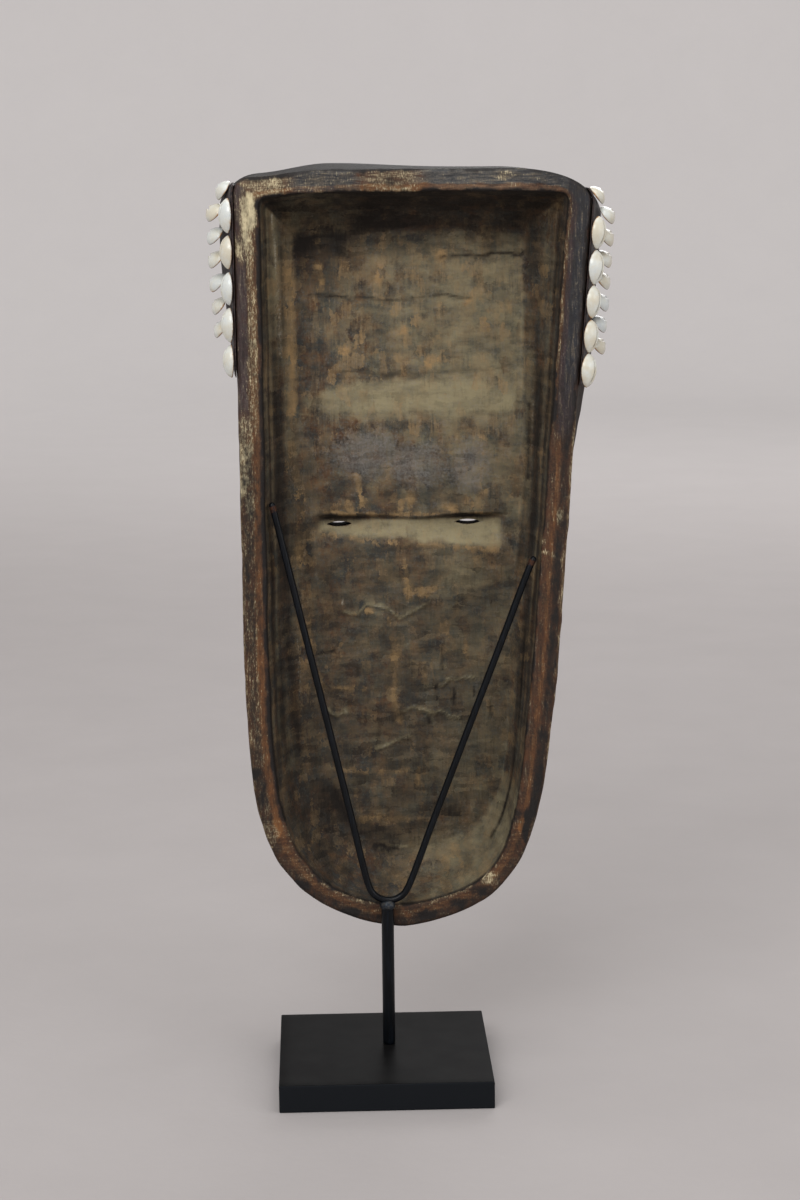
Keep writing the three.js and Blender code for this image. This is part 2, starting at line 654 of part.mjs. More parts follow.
function cradleGeometry() {
  const section = new THREE.Shape();
  section.absarc(0, 0, ROD_DIAMETER / 2, 0, 2 * Math.PI);
  const geometry = new THREE.ExtrudeGeometry(section, {
    steps: 46,
    curveSegments: 4,
    extrudePath: new CradleCurve(),
  });
  return bare(geometry);
}

function part(name, geometry, material) {
  const mesh = new THREE.Mesh(geometry, material);
  mesh.name = name;
  return mesh;
}

const stand = new THREE.Group();
stand.add(part("base_block", baseGeometry(), blackBoard));
stand.add(part("post", postGeometry(), blackSteel));
stand.add(part("cradle_rod", cradleGeometry(), blackSteel.clone()));

const trim = new THREE.Group();
trim.add(part("temple_band_left", bandGeometry(1, BAND_LEFT_Z), leather));
trim.add(part("temple_band_right", bandGeometry(-1, BAND_RIGHT_Z), leather.clone()));
trim.add(cowrieRow("left", 1, "edge", EDGE_ROW_LEFT));
trim.add(cowrieRow("right", -1, "edge", EDGE_ROW_RIGHT));
trim.add(cowrieRow("left", 1, "outer", OUTER_ROW_LEFT));
trim.add(cowrieRow("right", -1, "outer", OUTER_ROW_RIGHT));

const fangMask = new THREE.Group();
fangMask.add(part("mask", maskGeometry(), wood));
fangMask.add(trim);
fangMask.add(stand);

export default fangMask;
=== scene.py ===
"""A carved wooden mask on its stand, seen from its hollow back.

Lengths are in millimetres up to the meshes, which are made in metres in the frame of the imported
part: the origin is under the base, Z is up, the carved face looks along -Y and the hollow along +Y.
"""

import bmesh
import bpy
import numpy as np
from mathutils import Matrix, Vector


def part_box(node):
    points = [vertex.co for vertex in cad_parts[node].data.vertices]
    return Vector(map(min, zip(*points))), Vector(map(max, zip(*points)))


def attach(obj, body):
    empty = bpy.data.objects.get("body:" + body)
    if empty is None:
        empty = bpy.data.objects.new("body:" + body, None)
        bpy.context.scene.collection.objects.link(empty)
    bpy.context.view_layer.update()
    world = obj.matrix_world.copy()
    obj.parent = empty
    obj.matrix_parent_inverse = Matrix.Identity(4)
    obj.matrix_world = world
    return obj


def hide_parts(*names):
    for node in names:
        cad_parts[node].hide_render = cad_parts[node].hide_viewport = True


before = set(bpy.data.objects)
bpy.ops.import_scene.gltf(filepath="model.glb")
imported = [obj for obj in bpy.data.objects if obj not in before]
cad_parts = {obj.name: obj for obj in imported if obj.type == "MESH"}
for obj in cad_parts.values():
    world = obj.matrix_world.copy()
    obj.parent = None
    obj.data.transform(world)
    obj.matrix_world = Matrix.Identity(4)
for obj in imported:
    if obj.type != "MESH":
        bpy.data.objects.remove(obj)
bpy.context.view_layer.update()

# Camera: a long lens on a tripod behind the mask, a little above it and looking slightly down.
CAMERA_PLACE = (0.0371, 1.7247, 0.6437)
CAMERA_TURNS = ((178.3, "Z"), (79.5, "X"), (-0.66, "Z"))
CAMERA_LENS = 80.7

camera_data = bpy.data.cameras.new("camera")
camera_data.lens = CAMERA_LENS
camera = bpy.data.objects.new("camera", camera_data)
stand_point = Matrix.Translation(CAMERA_PLACE)
for degrees, axis in CAMERA_TURNS:
    stand_point = stand_point @ Matrix.Rotation(np.radians(degrees), 4, axis)
camera.matrix_world = stand_point
bpy.context.scene.collection.objects.link(camera)
bpy.context.scene.camera = camera

# Studio: a pale painted floor that curves up into a wall far away on every side, lit by a large
# soft window behind the camera, a weaker fill, a soft lamp overhead and a pale even sky.
FLOOR_RADIUS = 4000
WALL_RADIUS = 5200
WALL_HEIGHT = 4500
FLOOR_STEPS = 96
FLOOR_BLOTCH = 110
GLOW_START = 1.5
GLOW_FULL = 4.6
GLOW_STRENGTH = 0.33
LAMPS = {
    "window": ((1.1, 2.7, 2.3), (2.2, 1.6), 62),
    "fill": ((-2.4, 2.0, 1.2), (1.6, 1.6), 16),
    "overhead": ((0.0, 0.3, 3.0), (2.4, 2.0), 34),
    "front": ((-0.8, -2.9, 1.9), (2.0, 1.6), 30),
}
LAMP_TARGET = Vector((0, 0, 0.35))
SKY_STRENGTH = 0.42
POLE = 0.01
MERGE_DISTANCE = 0.000025


def linear(code):
    """The linear colour that a shader takes, from an sRGB hex code."""
    parts = np.array([int(code[k:k + 2], 16) for k in (1, 3, 5)]) / 255
    return (*np.where(parts <= 0.04045, parts / 12.92, ((parts + 0.055) / 1.055) ** 2.4), 1.0)


def add(kind, inputs=None, **settings):
    """Adds a node to the tree in work; an input takes a value, a socket or a node's only result."""
    node = tree.nodes.new(kind)
    for name, value in settings.items():
        setattr(node, name, value)
    for key, value in (inputs or {}).items():
        named = [s for s in node.inputs if s.identifier == key] or [node.inputs[key]]
        if isinstance(value, bpy.types.Node):
            value = next(s for s in value.outputs if s.enabled)
        if isinstance(value, bpy.types.NodeSocket):
            tree.links.new(value, named[0])
        else:
            named[0].default_value = value
    return node


def new_material(name):
    """An empty material, whose tree is then the one in work."""
    global tree, place
    material = bpy.data.materials.new(name)
    material.use_nodes = True
    tree = material.node_tree
    tree.nodes.clear()
    place = add("ShaderNodeTexCoord").outputs["Object"]
    return material


def noise(size, detail=3, rough=0.55, distortion=0.0):
    """Random patches of about the given size in mm, or of three sizes along X, Y and Z."""
    sizes = np.broadcast_to(size, 3)
    stretched = add("ShaderNodeMapping", {"Vector": place, "Scale": [1000 / s for s in sizes]})
    inputs = {"Vector": stretched, "Scale": 1, "Detail": detail, "Roughness": rough}
    return add("ShaderNodeTexNoise", {**inputs, "Distortion": distortion}).outputs["Fac"]


def finish(colour, roughness, height, relief, **constants):
    """The surface: colour, roughness (one, or two and their share), relief in mm, constants."""
    if isinstance(roughness, tuple):
        low, high, share = roughness
        limits = {"Value": share, "To Min": low, "To Max": high}
        roughness = add("ShaderNodeMapRange", limits).outputs["Result"]
    bump = add("ShaderNodeBump", {"Height": height, "Distance": relief / 1000})
    inputs = {"Base Color": colour, "Roughness": roughness, "Normal": bump}
    inputs.update({key.replace("_", " "): value for key, value in constants.items()})
    add("ShaderNodeOutputMaterial", {"Surface": add("ShaderNodeBsdfPrincipled", inputs)})


def mesh_object(name, points, faces, materials, slots=None):
    """A smooth mesh object at the origin from points in mm."""
    mesh = bpy.data.meshes.new(name)
    mesh.from_pydata((np.asarray(points) / 1000).tolist(), [], [list(map(int, f)) for f in faces])
    for material in materials:
        mesh.materials.append(material)
    if slots is not None:
        mesh.polygons.foreach_set("material_index", slots)
    mesh.shade_smooth()
    mesh.update()
    obj = bpy.data.objects.new(name, mesh)
    bpy.context.scene.collection.objects.link(obj)
    return obj


def lathe(profile, steps, centre=(0, 0)):
    """Points and faces of a profile of (radius, height) turned round a vertical axis."""
    turns = np.linspace(0, 2 * np.pi, steps, endpoint=False)
    points = [
        (centre[0] + radius * np.cos(turn), centre[1] + radius * np.sin(turn), height)
        for radius, height in profile
        for turn in turns
    ]
    table = np.arange(len(points)).reshape(len(profile), steps)
    after = np.roll(table, -1, axis=1)
    return points, np.stack([table[:-1], after[:-1], after[1:], table[1:]], -1).reshape(-1, 4)


def merged(obj):
    """Joins the points of an object that lie on each other."""
    work = bmesh.new()
    work.from_mesh(obj.data)
    bmesh.ops.remove_doubles(work, verts=work.verts, dist=MERGE_DISTANCE)
    work.to_mesh(obj.data)
    work.free()
    return obj


# Painted canvas: matt and even, with broad blotches of the two greys that it was rubbed with. Far
# from the middle it glows faintly by itself, painted light that keeps the wall pale.
canvas = new_material("painted_canvas")
blotches = noise(FLOOR_BLOTCH, detail=5, rough=0.6)
greys = {"Factor_Float": blotches, "A_Color": linear("#afaaa9"), "B_Color": linear("#a7a2a1")}
canvas_colour = add("ShaderNodeMix", greys, data_type="RGBA")
flat_place = add("ShaderNodeMapping", {"Vector": place, "Scale": (1, 1, 0)})
radius = add("ShaderNodeVectorMath", {0: flat_place}, operation="LENGTH").outputs["Value"]
limits = {"Value": radius, "From Min": GLOW_START, "From Max": GLOW_FULL, "To Max": GLOW_STRENGTH}
painted_glow = add("ShaderNodeMapRange", limits, interpolation_type="SMOOTHSTEP").outputs["Result"]
finish(canvas_colour, 0.9, noise(9), 0.3, Specular_IOR_Level=0.2,
       Emission_Color=linear("#f4f1f0"), Emission_Strength=painted_glow)

bowl = [(POLE, 0), (500, 0), (1500, 0), (FLOOR_RADIUS, 0)]
for bend in np.linspace(0, np.pi / 2, 12)[1:]:
    rise = WALL_RADIUS - FLOOR_RADIUS
    bowl.append((FLOOR_RADIUS + rise * np.sin(bend), rise * (1 - np.cos(bend))))
bowl.append((WALL_RADIUS, WALL_HEIGHT))
studio_floor = merged(mesh_object("studio_floor", *lathe(bowl, FLOOR_STEPS), [canvas]))

for name, (lamp_place, lamp_size, watts) in LAMPS.items():
    light = bpy.data.lights.new(name, "AREA")
    light.shape = "RECTANGLE"
    light.size, light.size_y = lamp_size
    light.energy = watts
    lamp = bpy.data.objects.new(name, light)
    lamp.location = lamp_place
    lamp.rotation_euler = (LAMP_TARGET - lamp.location).to_track_quat("-Z", "Y").to_euler()
    lamp.visible_camera = False
    bpy.context.scene.collection.objects.link(lamp)

world = bpy.data.worlds.new("pale_sky")
world.use_nodes = True
sky = world.node_tree.nodes["Background"].inputs
sky["Color"].default_value = linear("#f1f0ef")
sky["Strength"].default_value = SKY_STRENGTH
bpy.context.scene.world = world
bpy.context.scene.view_settings.view_transform = "Standard"

# Mask: one block of pale wood, adzed and gouged out from the back to a long trough-shaped hollow,
# its rim and outside painted and smoked dark long ago, its carved front rubbed with white clay.
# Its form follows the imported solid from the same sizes, with rounded, hand-cut and chipped edges.
mask_low, mask_high = [corner * 1000 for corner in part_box("mask")]
RIM_Y = mask_high.y
CHIN_Z = mask_low.z
CROWN_RISE = 3.2
CROWN_DROP = 0.1
CROWN_X = 28
CROWN_SPREAD = 50
TOP_Z = mask_high.z - CROWN_RISE
CHIN_X = -15.3
MIDDLE_X = -13
MIDDLE_LEAN = 0.0235
JAW_HEIGHT = 55
WIDENING_HEIGHT = 500
WIDEST_DEPTH = 36
EDGE_DEPTH = 46
FLARE_POWER = 1.4
FLARE_TURN_IN = 0.2
CHIN_LIFT = 9
CHIN_LIFT_START = 12

# The left (1) and right (-1) half of an outline: its width, the curl of the jaw, the corner at the
# top and the slope beside it; then the flare of the outside, or the half width of the floor
OUTER = {
    1: {"width": 104.2, "widening": 0, "curl": 36.5, "power": 1.55, "across": 9, "down": 9,
        "slope": 4, "slope_span": 45, "low": 1, "high": 8.6, "start": 450, "end": 560, "corner": 14},
    -1: {"width": 90.3, "widening": 36.2, "curl": 32.4, "power": 1.5, "across": 57, "down": 22,
         "slope": 0, "slope_span": 1, "low": 3, "high": 8.6, "start": 400, "end": 470, "corner": 12},
}
HOLLOW = {
    1: {"width": 88.2, "widening": 0, "curl": 34, "power": 1.85, "across": 5, "down": 5,
        "slope": 2.6, "slope_span": 24, "low": 55, "high": 65, "start": 330, "end": 430},
    -1: {"width": 72.3, "widening": 39.3, "curl": 24, "power": 1.6, "across": 8, "down": 5,
         "slope": 1.4, "slope_span": 36, "low": 74.5, "high": 83.5, "start": 280, "end": 400},
}
HOLLOW_DEPTH = 54
HOLLOW_CHIN_Z = 113.5
HOLLOW_TOP_Z = 587
FLOOR_CHIN_Z = 136
FLOOR_TOP_Z = 558
FLOOR_SAG = 2
EYE_Z = 363.8
EYE_SPACING = 87
TROUGH_ENDS = (-86, 39)
TROUGH_TOP_Z = 371
TROUGH_DEEP_Z = (361.4, 367.2)
TROUGH_BOTTOM_Z = 350
TROUGH_DEPTH = 7
TROUGH_MIDDLE_RISE = 0.62
TROUGH_MIDDLE_HALF = 16
TROUGH_DIP = {"depth": 2.2, "x": -30, "half": 22}

GRID_ACROSS = 116
GRID_UP = 270
FACE_CROWDING = 0.3
TROUGH_CROWDING = 1.3
TROUGH_CROWDING_REACH = 0.035
SIDE_STEPS = 10
OUTER_ROUNDING = 2.6
OUTER_ROUNDING_ANGLES = (67, 45, 22, 0)
INNER_ROUNDING = 1.8
INNER_ROUNDING_ANGLES = (30, 60, 90)
RIM_STEPS = 9
WALL_STEPS = 15
WALL_STRAIGHT = 0.36
WALL_CURVE = 3.5


def lerp(a, b, t):
    return a + (b - a) * t


def smooth(start, end, value):
    t = np.clip((value - start) / (end - start), 0, 1)
    return t * t * (3 - 2 * t)


def hump(value, middle, half):
    """A bell curve, 1 in its middle."""
    return np.exp(-((value - middle) / half) ** 2)


def between(low, high, outside, inside, value):
    """1 between two values: it rises and falls from so far outside of them to so far inside."""
    return smooth(low - outside, low + inside, value) * smooth(high + outside, high - inside, value)


def patches(points, size, seed):
    """Soft random patches of about the given size in mm, from -1 to 1, for meshes."""
    table = np.random.default_rng(seed).uniform(-1, 1, (32, 32, 32))
    cells = np.asarray(points) / size
    low = np.floor(cells).astype(int)
    part = cells - low
    part = part * part * (3 - 2 * part)
    value = 0
    for corner in np.ndindex(2, 2, 2):
        share = np.prod(np.where(corner, part, 1 - part), axis=-1)
        cell = (low + corner) % 32
        value = value + share * table[cell[..., 0], cell[..., 1], cell[..., 2]]
    return value


def midline(z):
    """Where the middle of the mask is at a height, as it leans a little."""
    return MIDDLE_X - MIDDLE_LEAN * (z - CHIN_Z)


class Side:
    """One side of an outline: how far it reaches at a height, and its chin and its top edge."""

    def __init__(self, sign, form, chin_z, top_z, width, crown):
        vars(self).update(form, sign=sign, chin_z=chin_z, top_z=top_z, width=width, crown=crown)
        self.jaw_z = chin_z + JAW_HEIGHT
        self.shoulder_top = top_z - self.slope
        self.shoulder_z = self.shoulder_top - self.down * (1 - 0.5 ** 0.5)

    def reach(self, z):
        rise = np.maximum(z - self.chin_z, 0)
        return self.width(z) * (1 - np.exp(-rise / self.curl)) ** (1 / self.power)

    def x(self, z):
        t = np.clip((z - (self.shoulder_top - self.down)) / self.down, 0, 1)
        return CHIN_X + self.sign * (self.reach(z) - self.across * (1 - np.sqrt(1 - t * t)))

    def top(self, x):
        room = self.reach(self.top_z) - self.sign * (x - CHIN_X)
        t = np.clip(1 - room / self.across, 0, 1)
        slope = self.slope * smooth(self.slope_span, 0, room - self.across)
        return self.top_z - slope - self.down * (1 - np.sqrt(1 - t * t)) + self.crown(x)

    def bottom(self, x):
        part = np.minimum(np.abs(x - CHIN_X) / self.width(self.jaw_z), 0.9999)
        return self.chin_z - self.curl * np.log(1 - part ** self.power)


def inside(sides, u, v):
    """A place inside an outline: u runs from -1 (right) to 1 (left), v from the chin to the top."""
    results = []
    for side in sides:
        t = np.abs(u)
        low_x = lerp(CHIN_X, side.x(side.jaw_z), t)
        high_x = lerp(midline(side.shoulder_top), side.x(side.shoulder_z), t)
        z = lerp(side.bottom(low_x), side.top(high_x), v)
        side_x = side.x(lerp(side.jaw_z, side.shoulder_z, v))
        results.append((lerp(lerp(CHIN_X, midline(side.shoulder_top), v), side_x, t), z))
    (left_x, left_z), (right_x, right_z) = results
    return np.where(u >= 0, left_x, right_x), np.where(u >= 0, left_z, right_z)


def open_width(form, z):
    """The half width at the rim, which may grow evenly with the height."""
    return form["width"] + form["widening"] * (z - CHIN_Z) / WIDENING_HEIGHT


def stepped(form, z):
    """A measure that goes from its low to its high value between two heights."""
    return lerp(form["low"], form["high"], smooth(form["start"], form["end"], z))


def outer_outline(depth):
    """The outline of the outside at a depth forward of the rim plane."""
    rise = np.clip(depth / WIDEST_DEPTH, 0, 1)
    lift = np.clip((depth - CHIN_LIFT_START) / (EDGE_DEPTH - CHIN_LIFT_START), 0, 1) ** 2
    swell = (max(depth, 0) / WIDEST_DEPTH) ** FLARE_POWER
    if depth > WIDEST_DEPTH:
        swell = 1 - FLARE_TURN_IN * ((depth - WIDEST_DEPTH) / (EDGE_DEPTH - WIDEST_DEPTH)) ** 2

    def crown(x):
        return rise * ((CROWN_RISE + CROWN_DROP) * hump(x, CROWN_X, CROWN_SPREAD) - CROWN_DROP)

    sides = []
    for sign, form in OUTER.items():
        more = form["corner"] * rise
        rounder = {**form, "across": form["across"] + more, "down": form["down"] + more}
        width = lambda z, form=form: open_width(form, z) + stepped(form, z) * swell
        sides.append(Side(sign, rounder, CHIN_Z + CHIN_LIFT * lift, TOP_Z, width, crown))
    return sides


def hollow_outline(narrowing):
    """The outline of the hollow, from its mouth (0) to its floor (1)."""
    chin_z = lerp(HOLLOW_CHIN_Z, FLOOR_CHIN_Z, narrowing)
    top_z = lerp(HOLLOW_TOP_Z, FLOOR_TOP_Z, narrowing)
    sides = []
    for sign, form in HOLLOW.items():
        width = lambda z, form=form: lerp(open_width(form, z), stepped(form, z), narrowing)
        sides.append(Side(sign, form, chin_z, top_z, width, lambda x: 0))
    return sides


# The carved face: a calm one, with arched brows over hollowed cheeks, a long nose, narrow eyes, a
# small mouth and a low crest on the forehead
FACE_DEPTHS = {110: 60, 160: 69, 230: 75, 365: 80.5, 460: 84, 530: 82, 600: 70}
SHOULDER = {"across": 2.4, "across_power": 0.55, "up": 5, "up_power": 0.6}
BROW = {"z": 392, "arch": 27, "start": -12, "span": 126, "proud": 3, "width": 11, "edge": 11}
BROW_END = (106, 90)
CHEEK = {"depth": 10, "overhang": 18, "low": 176, "high": 290, "outer": 101, "inner": 74}
NOSE = {"root_z": 392, "tip_z": 212, "root_half": 8, "tip_half": 17, "root": 11, "tip": 22, "under": 13}
MOUTH = {"z": 156, "half": 25, "rise": 11, "proud": 8, "parting": 3, "parting_half": 3}
LID = {"half": 21, "rise": 9, "proud": 3.4}
CREST = {"half": 9, "edge": 4, "low": 446, "high": 460, "proud": 3.4}


def dome(a, b):
    """A round hump over a place within 1 of the middle."""
    return np.sqrt(np.maximum(1 - a * a - b * b, 0))


def brow_height(across):
    """How high the lower edge of the brow runs at a distance from the middle."""
    part = np.clip((across - BROW["start"]) / BROW["span"], 0, 1)
    return BROW["z"] + BROW["arch"] * np.sin(np.pi * part)


def face_depth(u, v, x, z):
    """Depth of the carved face forward of the rim plane."""
    across = np.abs(x - midline(z))
    shoulder = (1 - np.abs(u) ** SHOULDER["across"]) ** SHOULDER["across_power"]
    shoulder = shoulder * (1 - np.abs(2 * v - 1) ** SHOULDER["up"]) ** SHOULDER["up_power"]
    heights = list(FACE_DEPTHS)
    form = np.full_like(z, FACE_DEPTHS[heights[0]])
    for low, high in zip(heights, heights[1:]):
        form += (FACE_DEPTHS[high] - FACE_DEPTHS[low]) * smooth(low, high, z)
    depth = EDGE_DEPTH + (form - EDGE_DEPTH) * shoulder

    brow_z = brow_height(across)
    under_brow = smooth(brow_z + 4, brow_z + 4 - CHEEK["overhang"], z)
    cheek = under_brow * smooth(CHEEK["low"], CHEEK["high"], z)
    depth -= CHEEK["depth"] * cheek * smooth(CHEEK["outer"], CHEEK["inner"], across)
    brow = smooth(brow_z - BROW["edge"], brow_z, z) * smooth(*BROW_END, across)
    brow *= smooth(brow_z + BROW["width"] + BROW["edge"], brow_z + BROW["width"], z)
    depth += BROW["proud"] * brow

    eye_across = across - EYE_SPACING / 2
    depth += LID["proud"] * dome(eye_across / LID["half"], (z - EYE_Z) / LID["rise"])
    lips = dome(across / MOUTH["half"], (z - MOUTH["z"]) / MOUTH["rise"])
    parting = smooth(MOUTH["parting_half"], 0, np.abs(z - MOUTH["z"]))
    depth += lips * (MOUTH["proud"] - MOUTH["parting"] * parting)

    down = np.clip((NOSE["root_z"] - z) / (NOSE["root_z"] - NOSE["tip_z"]), 0, 1)
    half = lerp(NOSE["root_half"], NOSE["tip_half"], down)
    reach = smooth(NOSE["tip_z"] - NOSE["under"], NOSE["tip_z"], z) * under_brow
    depth += lerp(NOSE["root"], NOSE["tip"], down) * reach * smooth(half * 1.25, half * 0.35, across)

    crest = smooth(CREST["half"] + CREST["edge"], CREST["half"] - CREST["edge"], across)
    return depth + CREST["proud"] * crest * smooth(CREST["low"], CREST["high"], z) * shoulder


# The places on the grids: the face is finest near its middle, the floor near the eye trough
even = np.linspace(-1, 1, GRID_ACROSS)
face_us = even - FACE_CROWDING * np.sin(np.pi * even) / np.pi
face_vs = np.linspace(0, 1, GRID_UP)
trough_v = (EYE_Z - FLOOR_CHIN_Z) / (FLOOR_TOP_Z - FLOOR_CHIN_Z)
steps = np.linspace(0, 1, 2000)
density = np.cumsum(1 + TROUGH_CROWDING * hump(steps, trough_v, TROUGH_CROWDING_REACH))
density = (density - density[0]) / (density[-1] - density[0])
floor_vs = np.interp(face_vs, density, steps)


def around(table):
    """The edge of a table: along the chin, up the left, back along the top, down the right."""
    return np.concatenate([table[0, :-1], table[:-1, -1], table[-1, :0:-1], table[:0:-1, 0]])


def grid(rows, columns):
    """The faces of a grid of points and the numbers of the points at its edge."""
    table = np.arange(rows * columns).reshape(rows, columns)
    quads = np.stack([table[:-1, :-1], table[:-1, 1:], table[1:, 1:], table[1:, :-1]], -1)
    return quads.reshape(-1, 4), around(table)


def outward(x, z):
    """The direction out of a closed loop in its own plane."""
    along_x = np.roll(x, -1) - np.roll(x, 1)
    along_z = np.roll(z, -1) - np.roll(z, 1)
    size = np.hypot(along_x, along_z)
    return along_z / size, -along_x / size


# Loops of points run from the face back along the sides, over the rim and down into the hollow
face_u, face_v = np.meshgrid(face_us, face_vs)
face_x, face_z = inside(outer_outline(EDGE_DEPTH), face_u, face_v)
face_points = np.stack([face_x, RIM_Y - face_depth(face_u, face_v, face_x, face_z), face_z], -1)
face_points = face_points.reshape(-1, 3)
floor_u, floor_v = np.meshgrid(even, floor_vs)
outer_edge = around(face_u), around(face_v)
inner_edge = around(floor_u), around(floor_v)
loops = []
for depth in np.linspace(EDGE_DEPTH, OUTER_ROUNDING, SIDE_STEPS + 1)[1:]:
    loops.append(("side", depth, *inside(outer_outline(depth), *outer_edge)))
rim_x, rim_z = inside(outer_outline(0), *outer_edge)
out_x, out_z = outward(rim_x, rim_z)
for angle in np.radians(OUTER_ROUNDING_ANGLES):
    inset = OUTER_ROUNDING * (1 - np.sin(angle))
    depth = OUTER_ROUNDING * (1 - np.cos(angle))
    loops.append(("edge", depth, rim_x - inset * out_x, rim_z - inset * out_z))
mouth_x, mouth_z = inside(hollow_outline(0), *inner_edge)
in_x, in_z = outward(mouth_x, mouth_z)
start_x, start_z = loops[-1][2:]
for share in np.linspace(0, 1, RIM_STEPS + 1)[1:]:
    ring_x = lerp(start_x, mouth_x + INNER_ROUNDING * in_x, share)
    loops.append(("rim", 0, ring_x, lerp(start_z, mouth_z + INNER_ROUNDING * in_z, share)))
for angle in np.radians(INNER_ROUNDING_ANGLES):
    outset = INNER_ROUNDING * (1 - np.sin(angle))
    depth = INNER_ROUNDING * (1 - np.cos(angle))
    loops.append(("lip", depth, mouth_x + outset * in_x, mouth_z + outset * in_z))
for part in np.linspace(INNER_ROUNDING / HOLLOW_DEPTH, 1, WALL_STEPS + 1)[1:-1]:
    narrowing = lerp(part ** WALL_CURVE, part, WALL_STRAIGHT)
    loops.append(("wall", HOLLOW_DEPTH * part, *inside(hollow_outline(narrowing), *inner_edge)))

floor_x, floor_z = inside(hollow_outline(1), floor_u, floor_v)
trough_top = TROUGH_TOP_Z - TROUGH_DIP["depth"] * hump(floor_x, TROUGH_DIP["x"], TROUGH_DIP["half"])
trough = smooth(trough_top, trough_top - TROUGH_TOP_Z + TROUGH_DEEP_Z[1], floor_z)
climb = np.clip((floor_z - TROUGH_BOTTOM_Z) / (TROUGH_DEEP_Z[0] - TROUGH_BOTTOM_Z), 0, 1)
trough = TROUGH_DEPTH * np.minimum(trough, climb)
trough *= between(*TROUGH_ENDS, 3, 6, floor_x)
trough *= 1 - TROUGH_MIDDLE_RISE * hump(floor_x, midline(EYE_Z), TROUGH_MIDDLE_HALF)
floor_depth = HOLLOW_DEPTH + FLOOR_SAG * (1 - floor_u ** 2) * (1 - (2 * floor_v - 1) ** 4) + trough
floor_points = np.stack([floor_x, RIM_Y - floor_depth, floor_z], -1).reshape(-1, 3)
loop_points = [np.stack([x, np.full_like(x, RIM_Y - depth), z], -1) for _, depth, x, z in loops]
mask_points = np.concatenate([face_points, *loop_points, floor_points])


def over_points(on_faces, on_loops, on_floors):
    """A value for each point of the mask: one for the face, a row for each loop, one for the floor."""
    grids = [np.full(len(face_points), on_faces), np.full(len(floor_points), on_floors)]
    return np.concatenate([grids[0], *on_loops, grids[1]])


# What every point of the mask belongs to, and how far it is across the rim or down the wall
edge_length = len(rim_x)
ZONES = ("face", "side", "edge", "rim", "lip", "wall", "floor")
loop_names = [name for name, *_ in loops]
zone = over_points(0, [np.full(edge_length, ZONES.index(name)) for name in loop_names], 6)
on_face, on_side, on_edge, on_rim, on_lip, on_wall, on_floor = [zone == k for k in range(len(ZONES))]
rim_ring = on_edge | on_rim | on_lip
forward_depth = RIM_Y - mask_points[:, 1]
wall_part = np.where(on_wall | on_floor, np.clip(forward_depth / HOLLOW_DEPTH, 0, 1), 0)
shares = np.zeros(len(loops))
rim_shares = [0.03, 0.06, 0.09, *np.linspace(0.12, 0.92, RIM_STEPS + 1), 0.94, 0.97, 1]
shares[SIDE_STEPS:SIDE_STEPS + len(rim_shares)] = rim_shares
across_rim = over_points(0.0, np.repeat(shares[:, None], edge_length, 1), 0.0)
outwards = [np.stack(outward(x, z), -1).T for _, _, x, z in loops]
direction_x, direction_z = [over_points(0.0, [pair[k] for pair in outwards], 0.0) for k in (0, 1)]
number = np.arange(edge_length)
top_start = GRID_ACROSS + GRID_UP - 2
ring_top = (number >= top_start) & (number < top_start + GRID_ACROSS)
at_top = over_points(False, [ring_top] * len(loops), False)
at_chin = over_points(False, [number < GRID_ACROSS] * len(loops), False)


def near(points, centre_line, reach):
    """1 on a line through a few (x, z) places, falling softly to 0 at the reach."""
    x, z = points
    nearest = np.full(np.shape(x), np.inf)
    for (ax, az), (bx, bz) in zip(centre_line, centre_line[1:]):
        dx = bx - ax
        dz = bz - az
        t = np.clip(((x - ax) * dx + (z - az) * dz) / (dx * dx + dz * dz), 0, 1)
        nearest = np.minimum(nearest, np.hypot(x - ax - t * dx, z - az - t * dz))
    return smooth(reach, 0, nearest)


def patch(points, centre, radii):
    """1 in the middle of an oval, falling softly to 0 at its edge."""
    x, z = points
    return smooth(1, 0.3, np.hypot((x - centre[0]) / radii[0], (z - centre[1]) / radii[1]))


def strokes(marks, points=None, join=np.maximum):
    """Soft marks together, each a line with a reach or an oval with its radii, and a strength."""
    result = 0.0
    for form, reach, strength in marks:
        kind = near if isinstance(form, list) else patch
        result = join(result, strength * kind(points or wobbly, form, reach))
    return result


# Hand work: edges that waver, gouge marks that run along the walls and down the forehead, tool
# chatter across the jaw, chipped arrises, cracks, torn grain and the step over the brow
BROW_STEPS = [
    [(49, 463), (41, 464), (22, 467), (-18, 465), (-51, 466), (-96, 468)],
    [(29, 462), (0, 464), (-31, 463)],
]
CRACKS = [
    [(41, 518), (14, 516), (-12, 514), (-30, 515), (-45, 518), (-65, 515)],
    [(-45, 542), (-70, 543.5), (-102, 543)],
    [(39, 275), (29, 277)],
    [(37, 155), (13, 141), (-14, 138)],
    [(54, 448), (55, 420)],
]
TEARS = [
    [(21, 304), (12, 303), (6, 309), (-4, 307), (-16, 300), (-24, 303), (-33, 308)],
    [(-32, 252), (-44, 252), (-50, 257), (-58, 258), (-67, 257)],
    [(-15, 234), (-26, 237), (-33, 233), (-43, 235), (-55, 228)],
    [(0, 209), (-8, 213), (-15, 214), (-22, 216)],
    [(32, 236), (27, 232), (22, 235)],
    [(45, 168), (34, 156), (22, 149)],
    [(24, 141), (4, 138), (-20, 139)],
]
SCARP = [(52, 200), (44, 168), (24, 145), (4, 139), (-20, 140), (-42, 147), (-61, 157), (-63, 178)]

